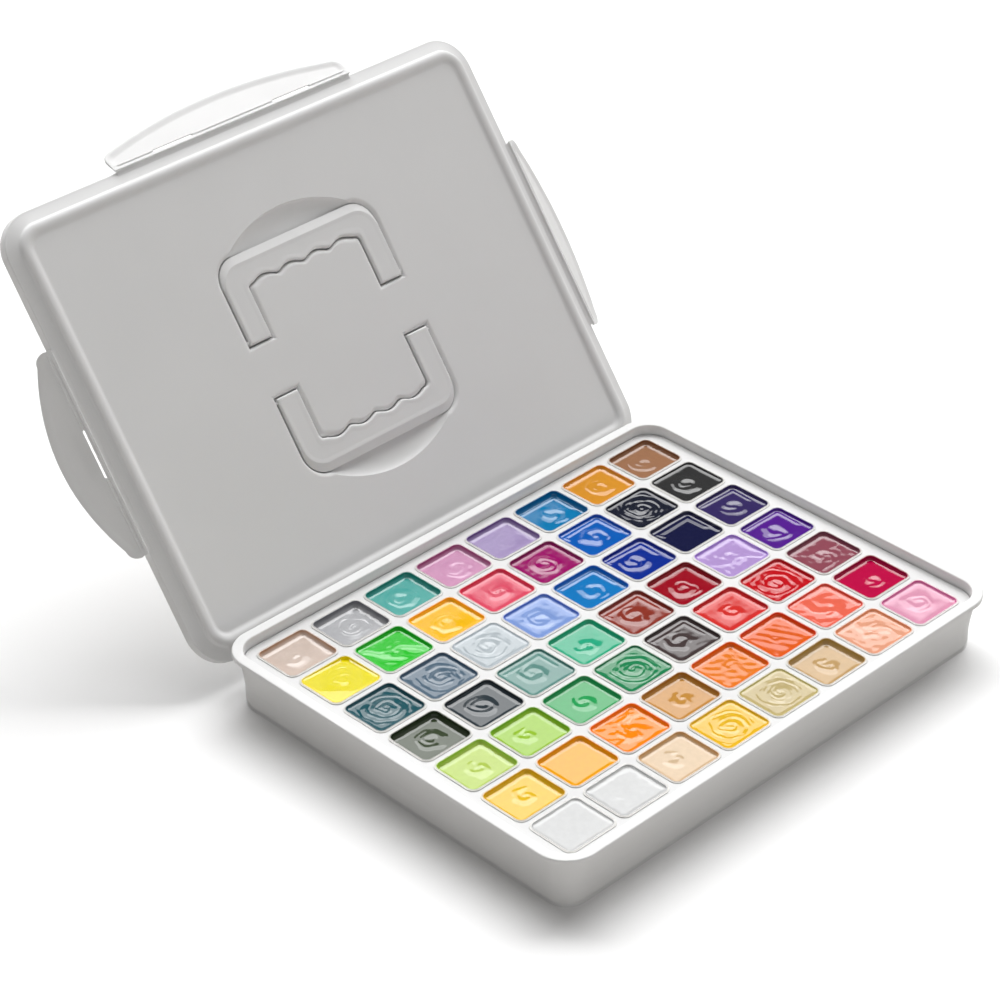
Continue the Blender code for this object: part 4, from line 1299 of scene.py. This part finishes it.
def lid_profile():
    """The lid's wall as inset from its outline and drop below its crest, from underside to face."""
    rib_outer = LID_GROWTH + RIM_WIDTH + LID_GAP
    rib_inner = rib_outer + INNER_RIB_WALL
    land_inner = SKIRT_WALL + LAND_WIDTH
    land_drop = RIM_SEAT_DROP - SEAT_GAP
    skirt_end = MM * 0.4
    profile = [
        (rib_inner, FACE_SINK + PLATE_THICKNESS),
        (rib_inner, INNER_RIB_DROP - skirt_end),
        (rib_inner - skirt_end, INNER_RIB_DROP),
        (rib_outer + skirt_end, INNER_RIB_DROP),
        (rib_outer, INNER_RIB_DROP - skirt_end),
        (rib_outer, GROOVE_ROOF),
        (land_inner, GROOVE_ROOF),
        (land_inner, land_drop),
        (SKIRT_WALL, land_drop),
        (SKIRT_WALL, SKIRT_DROP - skirt_end),
        (SKIRT_WALL - skirt_end, SKIRT_DROP),
        (skirt_end, SKIRT_DROP),
        (0, SKIRT_DROP - skirt_end),
    ]
    for angle in quarter_turn(ROUND_STEPS):
        drop = SKIRT_TOP_DROP - SKIRT_ROUND * math.sin(angle) / 2
        profile.append((SKIRT_ROUND * (1 - math.cos(angle)), drop))
    profile.append((SHOULDER_INSET - SHOULDER_FILLET, SHOULDER_DROP))
    profile.append((SHOULDER_INSET, SHOULDER_DROP - SHOULDER_FILLET))
    for angle in quarter_turn(CREST_STEPS):
        inset = CREST_INSET - (CREST_INSET - CREST_START) * math.cos(angle)
        profile.append((inset, CREST_HEIGHT * (1 - math.sin(angle))))
    steepest = 2 * FACE_SINK / (FACE_INSET - CREST_INSET)
    fall = FOOT_INSET - CREST_INSET
    rest = FACE_INSET - FOOT_INSET
    for step in range(1, CREST_STEPS + 1):
        share = step / CREST_STEPS
        profile.append((CREST_INSET + fall * share, steepest * fall * share * share / 2))
    for step in range(1, CREST_STEPS + 1):
        share = 1 - step / CREST_STEPS
        profile.append((FACE_INSET - rest * share, FACE_SINK - steepest * rest * share * share / 2))
    return profile


def build_seal(place, finish):
    """The seal in the lid's groove, with two rounded lips on its lower side."""
    outer = SKIRT_WALL + LAND_WIDTH + SEAT_GAP
    inner = LID_GROWTH + RIM_WIDTH + LID_GAP - SEAT_GAP
    top = GROOVE_ROOF + SEAT_GAP
    bottom = RIM_SEAT_DROP - SEAT_GAP
    width = inner - outer
    profile = [(outer, top), (outer, bottom - width / 4)]
    for lip in range(2):
        middle = outer + width * (0.25 + 0.5 * lip)
        for step in range(1, SEAL_LIP_STEPS):
            angle = math.pi * step / SEAL_LIP_STEPS
            across = middle - width / 4 * math.cos(angle)
            profile.append((across, bottom - width / 4 * (1 - math.sin(angle))))
    profile += [(inner, bottom - width / 4), (inner, top)]
    seal = solid("soft_seal", [[lid_ring(inset, drop) for inset, drop in profile]], closed=True)
    return carry(dress(seal, finish), place)


HANDLE_CORNER_STEPS = 14
FINGER_STEPS = 12
THROAT_STEPS = 4
LEG_END_STEPS = 6
DISH_SHARES = (0.08, 0.3, 0.5, 0.7, 0.85, 1.0)
WELL_LIP_STEPS = 8


def handle_outline(grow, end_shift, grip_inset=0.0):
    """A handle's outline in the lid's plane, grown on all sides, legs towards the lid's middle."""
    half = HANDLE_SPAN / 2 + grow
    inner = HANDLE_SPAN / 2 - LEG_WIDTH - grow
    leg_end = LEG_END + end_shift
    grip_outer = GRIP_REACH + grow - grip_inset
    corner = HANDLE_CORNER + grow
    cusp_y = GRIP_REACH - GRIP_WIDTH - grow
    points = [(half, leg_end)]
    for side in (1, -1):
        for angle in quarter_turn(HANDLE_CORNER_STEPS)[::side]:
            x = half - corner + corner * math.cos(angle)
            y = grip_outer - corner + corner * math.sin(angle)
            points.append((side * x, y))
    points.append((-half, leg_end))
    points.append((-inner, leg_end))
    throat = GRIP_INNER_CORNER
    fingers_half = inner - throat
    for angle in quarter_turn(THROAT_STEPS):
        points.append((-inner + throat * (1 - math.cos(angle)), cusp_y - throat * (1 - math.sin(angle))))
    pitch = 2 * fingers_half / FINGERS
    for finger in range(FINGERS):
        for step in range(1 if finger == 0 else 0, FINGER_STEPS):
            x = -fingers_half + pitch * (finger + step / FINGER_STEPS)
            wave = math.hypot(math.sin(math.pi * step / FINGER_STEPS), CUSP_SOFTNESS) - CUSP_SOFTNESS
            points.append((x, cusp_y + FINGER_DIP * wave * (1 + CUSP_SOFTNESS)))
    for angle in quarter_turn(THROAT_STEPS):
        points.append((inner - throat * (1 - math.sin(angle)), cusp_y - throat * (1 - math.cos(angle))))
    points.append((inner, leg_end))
    return points


def both_ways(rings):
    """The rings, and the same turned half round the lid's middle."""
    return [rings, [[(-x, -y, z) for x, y, z in ring] for ring in rings]]


def well_prism(grow, end_shift, low, high):
    outline = handle_outline(grow, end_shift)
    return both_ways([at_height(outline, low), at_height(outline, high)])


def well_cutter():
    """The well's hollow, with a wide round at its mouth."""
    rings = [at_height(handle_outline(WELL_GAP, -WELL_END_GAP), WELL_FLOOR_Z)]
    for angle in quarter_turn(WELL_LIP_STEPS):
        flare = WELL_LIP_WIDTH * (1 - math.cos(angle))
        z = -FACE_SINK - WELL_LIP_DEPTH * (1 - math.sin(angle))
        rings.append(at_height(handle_outline(WELL_GAP + flare, -WELL_END_GAP - flare), z))
    mouth = handle_outline(WELL_GAP + WELL_LIP_WIDTH, -WELL_END_GAP - WELL_LIP_WIDTH)
    rings.append(at_height(mouth, CUT_PAST))
    return both_ways(rings)


SCOOP_ARC_STEPS = 36
SCOOP_STEPS = 9


def scoop_ring(radius, z):
    """A slice of the finger scoop: an arc about the lid's middle, closed by a chord."""
    half_angle = math.acos(SCOOP_CHORD / radius)
    ring = []
    for step in range(SCOOP_ARC_STEPS + 1):
        angle = half_angle * (1 - 2 * step / SCOOP_ARC_STEPS)
        ring.append((radius * math.sin(angle), radius * math.cos(angle), z))
    return ring


def scoop_stack(grow, top):
    rings = []
    for angle in quarter_turn(SCOOP_STEPS):
        radius = SCOOP_RADIUS + grow - SCOOP_SLOPE * (1 - math.sin(angle))
        rings.append(scoop_ring(radius, -FACE_SINK - grow - SCOOP_DEPTH * math.cos(angle)))
    rings.append(scoop_ring(SCOOP_RADIUS + grow, top))
    return both_ways(rings)


def bar_x(start, length, radius, y, z, sides=24):
    rings = []
    for x in (start, start + length):
        ring = []
        for side in range(sides):
            angle = TURN * side / sides
            ring.append((x, y + radius * math.cos(angle), z + radius * math.sin(angle)))
        rings.append(ring)
    return rings


def block(low, high):
    outline = [(low[0], low[1]), (high[0], low[1]), (high[0], high[1]), (low[0], high[1])]
    return [at_height(outline, low[2]), at_height(outline, high[2])]


def mirrored(rings):
    return [[(-x, y, z) for x, y, z in ring] for ring in rings]


def boss_blocks():
    start = HANDLE_SPAN / 2
    end = start + WELL_GAP + STUB_LENGTH + STUB_END_GAP + BOSS_WALL
    low = (start, PIVOT_Y - BOSS_HALF, PIVOT_Z - BOSS_BOTTOM)
    high = (end, PIVOT_Y + BOSS_HALF, -FACE_SINK - PLATE_THICKNESS / 2)
    rings = block(low, high)
    return both_ways(rings) + both_ways(mirrored(rings))


def pivot_holes():
    start = HANDLE_SPAN / 2 - STUB_ROOT
    length = STUB_ROOT + STUB_LENGTH + STUB_END_GAP
    rings = bar_x(start, length, STUB_RADIUS + PIVOT_GAP, PIVOT_Y, PIVOT_Z)
    return both_ways(rings) + both_ways(mirrored(rings))


def lid_place():
    """The lid stands on the free edge of its lower latch, which is folded shut."""
    along = Vector((0, math.cos(LEAN_BACK), math.sin(LEAN_BACK)))
    outward = Vector((0, -math.sin(LEAN_BACK), math.cos(LEAN_BACK)))
    lip_out = LATCH_AXIS_OUT + LATCH_HALF + LATCH_LIP
    foot = -lip_out * along - (LATCH_DROP + LATCH_REACH) * outward
    edge = Vector((0, TRAY_HALF_Y + LID_BEHIND_TRAY, LATCH_FLOOR_GAP - foot.z))
    return Matrix.Translation(edge + LID_HALF_Y * along) @ Matrix.Rotation(LEAN_BACK, 4, "X")


def build_lid_shell(place, finish):
    lid = solid("lid_case", [[lid_ring(inset, drop) for inset, drop in lid_profile()]])
    inside_plate = -FACE_SINK - PLATE_THICKNESS / 2
    end_shift = -WELL_END_GAP - WELL_WALL
    tub = well_prism(WELL_GAP + WELL_WALL, end_shift, WELL_FLOOR_Z - WELL_FLOOR, inside_plate)
    combine(lid, solid("well_tubs", tub), "UNION")
    combine(lid, solid("scoop_tubs", scoop_stack(WELL_WALL, inside_plate)), "UNION")
    combine(lid, solid("pivot_bosses", boss_blocks()), "UNION")
    combine(lid, solid("scoops", scoop_stack(0, CUT_PAST)), "DIFFERENCE")
    combine(lid, solid("wells", well_cutter()), "DIFFERENCE")
    combine(lid, solid("pivot_holes", pivot_holes()), "DIFFERENCE")
    return carry(dress(lid, finish, even=True), place)


def handle_rings():
    """A handle about its pivot: round leg ends below, rounded edges, a bevelled grip and a dished top."""
    levels = []
    for angle in quarter_turn(LEG_END_STEPS):
        levels.append((-HALF_THICK * math.cos(angle), HALF_THICK * (1 - math.sin(angle)), 0.0, 0.0))
    levels.append((HALF_THICK - GRIP_BEVEL_DROP, 0.0, 0.0, 0.0))
    for angle in quarter_turn(ROUND_STEPS + 1):
        drop = HANDLE_ROUND * (1 - math.sin(angle))
        round_in = HANDLE_ROUND * (1 - math.cos(angle))
        bevel = GRIP_BEVEL * (1 - drop / GRIP_BEVEL_DROP) - round_in
        levels.append((HALF_THICK - drop, round_in, max(bevel, 0.0), round_in))
    flat = GRIP_BEVEL - HANDLE_ROUND
    for share in DISH_SHARES:
        inset = HANDLE_ROUND + HANDLE_BAND * share
        dip = HANDLE_DISH * (1 - math.cos(math.pi * max(share - 0.1, 0))) / 2
        levels.append((HALF_THICK - dip, inset, flat, inset))
    rings = []
    for z, pull, bevel, shrink in levels:
        rings.append([(x, y - PIVOT_Y, z) for x, y in handle_outline(-shrink, pull, bevel)])
    return rings


def build_handle(name, place, turn, finish):
    handle = solid(name, [handle_rings()])
    start = HANDLE_SPAN / 2 - STUB_ROOT
    stub = bar_x(start, STUB_ROOT + STUB_LENGTH, STUB_RADIUS, 0, 0)
    combine(handle, solid("stubs", [stub, mirrored(stub)]), "UNION")
    dress(handle, finish, even=True)
    own = Matrix.Rotation(turn, 4, "Z") @ Matrix.Translation((0, PIVOT_Y, PIVOT_Z))
    return carry(handle, place @ own)


# Latches
CROWN_STEPS = 24
LATCH_CORNER_STEPS = 8
DISH_STEPS = 7
HIP_STEPS = 4
FOLD_SIDES = 10
SLOT_END_STEPS = 6


def latch_outline(length, inset=0.0):
    """A latch seen flat, root at y = 0; inset draws in all but the root."""
    root_half = length / 2
    hip_half = root_half + LATCH_HIP - inset
    reach = LATCH_REACH - inset
    shoulder_drop, corner = LONG_LATCH_END if length == LONG_LATCH else SHORT_LATCH_END
    corner = max(corner - inset, MM)
    shoulder_y = LATCH_REACH - shoulder_drop - inset
    crown_half = hip_half - corner
    lowest = LATCH_HIP_END + inset / 10
    half = [(root_half - inset, 0), (root_half - inset, LATCH_HIP_START)]
    for step in range(1, HIP_STEPS + 1):
        share = step / HIP_STEPS
        ease = (1 - math.cos(math.pi * share)) / 2
        x = root_half - inset + LATCH_HIP * ease
        half.append((x, LATCH_HIP_START + (LATCH_HIP_END - LATCH_HIP_START) * share))
    for step in range(1, LATCH_CORNER_STEPS):
        angle = QUARTER * step / LATCH_CORNER_STEPS
        x = crown_half + corner * math.cos(angle)
        y = shoulder_y - corner * (1 - math.sin(angle))
        half.append((x, max(y, lowest + MM / 50 * step)))
    for step in range(CROWN_STEPS):
        share = 1 - step / CROWN_STEPS
        y = reach - (reach - shoulder_y) * share ** LATCH_CROWN_POWER
        half.append((crown_half * share, max(y, lowest + MM / 5)))
    return half + [(0, reach)] + [(-x, y) for x, y in reversed(half)]


def latch_rings(length):
    """The latch's plate: a rounded root, rounded edges, and a softly dished outer side."""
    top = LATCH_HALF + LATCH_LIP
    levels = [
        (LATCH_ROUND, -LATCH_HALF, 0.0002),
        (LATCH_ROUND * 0.3, -LATCH_HALF + LATCH_ROUND * 0.3, -0.0001),
        (0.0, -LATCH_HALF + LATCH_ROUND, -0.0003),
        (0.0, top - LATCH_ROUND, -0.0001),
        (LATCH_ROUND * 0.3, top - LATCH_ROUND * 0.3, 0.0001),
        (LATCH_ROUND, top, 0.0003),
    ]
    for step in range(1, DISH_STEPS + 1):
        share = step / DISH_STEPS
        fall = (LATCH_LIP + LATCH_DISH) * (1 - math.cos(math.pi * share)) / 2
        inset = LATCH_ROUND + (LATCH_DISH_WIDTH - LATCH_ROUND) * share
        levels.append((inset, top - fall, 0.0003 + 0.0003 * step))
    rings = []
    for inset, z, root in levels:
        ring = []
        for x, y in latch_outline(length, inset):
            near_root = float(smooth_step(y, LATCH_HIP_START, LATCH_HIP_END + 2 * MM))
            low = min(z, LATCH_HALF)
            ring.append((x, root if y <= 0 else y, low + (z - low) * near_root))
        rings.append(ring)
    return rings


def slot_centres(length):
    return (-LONG_SLOT_OFFSET, LONG_SLOT_OFFSET) if length == LONG_LATCH else (0,)


def slot_cutter(centre):
    """A slot with round ends."""
    half = SLOT_LENGTH / 2
    middle = SLOT_START + SLOT_WIDTH / 2
    outline = rounded_rectangle(half, SLOT_WIDTH / 2, SLOT_WIDTH / 2 - MM / 10, SLOT_END_STEPS)
    outline = [(centre + x, middle + y) for x, y in outline]
    return [at_height(outline, -LATCH_THICKNESS), at_height(outline, LATCH_THICKNESS)]


def fold_rib(length):
    """The thin rib along which the latch bends, broken by the slots."""
    half = length / 2 - MM / 2
    ends = [-half]
    for centre in slot_centres(length):
        ends += [centre - SLOT_LENGTH / 2 - MM / 5, centre + SLOT_LENGTH / 2 + MM / 5]
    ends.append(half)
    middle = LATCH_HALF + FOLD_PROUD - FOLD_RADIUS
    spans = zip(ends[::2], ends[1::2])
    return [bar_x(start, end - start, FOLD_RADIUS, FOLD_Y, middle, FOLD_SIDES) for start, end in spans]


def latch_catch(centre):
    """The rib inside a latch that hooks under the tray's rim."""
    top = SKIRT_DROP - LATCH_DROP + CATCH_GAP
    inner = -LATCH_HALF
    tip = inner - CATCH_HEIGHT
    section = [
        (top, inner + CATCH_ROOT),
        (top, tip + MM / 5),
        (top + MM / 5, tip),
        (top + CATCH_TOP_WIDTH - MM / 5, tip),
        (top + CATCH_TOP_WIDTH, tip + MM / 5),
        (top + CATCH_TOP_WIDTH + CATCH_SLOPE, inner + CATCH_ROOT),
    ]
    half = SLOT_LENGTH / 2
    return [[(centre + side * half, y, z) for y, z in section] for side in (-1, 1)]


def build_latch(name, place, length, side_distance, turn, closed_angle, finish):
    latch = solid(name, [latch_rings(length)])
    centres = slot_centres(length)
    combine(latch, solid("slots", [slot_cutter(x) for x in centres]), "DIFFERENCE")
    combine(latch, solid("fold", fold_rib(length)), "UNION")
    combine(latch, solid("catches", [latch_catch(x) for x in centres]), "UNION")
    dress(latch, finish, even=True)
    axis_at = Matrix.Translation((0, side_distance + LATCH_AXIS_OUT, -LATCH_DROP))
    folded = Matrix.Rotation(-closed_angle, 4, "X")
    return carry(latch, place @ Matrix.Rotation(turn, 4, "Z") @ axis_at @ folded)


def build_hinges(place, sides, finish):
    """The thin plastic hinges between lid and latches, round about each latch's axis."""
    stacks = []
    for length, side_distance, turn in sides:
        own = Matrix.Rotation(turn, 4, "Z") @ Matrix.Translation((0, side_distance, -LATCH_DROP))
        half = length / 2 - MM
        rings = [[tuple(own @ Vector((x, y, z))) for y, z in HINGE_WEB] for x in (-half, half)]
        stacks.append(rings)
    return carry(dress(solid("latch_hinges", stacks), finish), place)


# The whole box
def add_tray(case_white, rack_white, cup_plastic, gouache):
    tray = build_tray_shell(case_white)
    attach(tray, "tray")
    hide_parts("tray_shell")

    tree, names = grid_tree()
    rack = build_rack(tree, names, rack_white)
    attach(rack, "tray")
    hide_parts("cup_rack")

    places = cup_places()
    cups = build_cups(tree, names, cup_plastic, places)
    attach(cups, "tray")
    build_paints(gouache, places)


def add_lid(place, lid_white):
    lid = build_lid_shell(place, lid_white)
    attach(lid, "lid")
    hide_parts("lid_shell")
    for name, turn in (("handle_upper", 0), ("handle_lower", math.pi)):
        handle = build_handle(name + "_grip", place, turn, lid_white)
        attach(handle, name)
        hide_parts(name)


def add_latches(place, latch_white):
    opened = QUARTER - LATCH_OPEN
    latches = (
        ("latch_top", LONG_LATCH, LID_HALF_Y, 0, opened),
        ("latch_left", SHORT_LATCH, LID_HALF_X, QUARTER, opened),
        ("latch_right", SHORT_LATCH, LID_HALF_X, -QUARTER, opened),
        ("latch_bottom", LONG_LATCH, LID_HALF_Y, math.pi, QUARTER),
    )
    for name, length, distance, turn, angle in latches:
        latch = build_latch(name + "_flap", place, length, distance, turn, angle, latch_white)
        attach(latch, name)
        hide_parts(name)
    hinges = build_hinges(place, [entry[1:4] for entry in latches], latch_white)
    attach(hinges, "lid")


def add_seal(place):
    seal = build_seal(place, soft_seal("seal_grey", SEAL_GREY))
    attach(seal, "lid")
    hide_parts("lid_gasket")


def main():
    bpy.context.scene.view_settings.view_transform = "Standard"
    add_camera()
    add_floor()
    add_sky()
    for name, angles in SOFTBOXES.items():
        add_softbox(name, *angles)

    case_white = moulded_plastic("case_white", CASE_WHITE, 0.50, 1.1 * MM, 0.004 * MM)
    rack_white = moulded_plastic("rack_white", RACK_WHITE, 0.50, 1.1 * MM, 0.004 * MM)
    lid_white = moulded_plastic("lid_white", LID_WHITE, 0.48, 0.9 * MM, 0.005 * MM)
    latch_white = moulded_plastic("latch_white", LATCH_WHITE, 0.46, 1.1 * MM, 0.003 * MM, 0.5)
    cup_plastic = translucent_cup("cup_plastic")
    gouache = wet_paint("gouache")

    add_tray(case_white, rack_white, cup_plastic, gouache)
    place = lid_place()
    add_lid(place, lid_white)
    add_latches(place, latch_white)
    add_seal(place)


main()
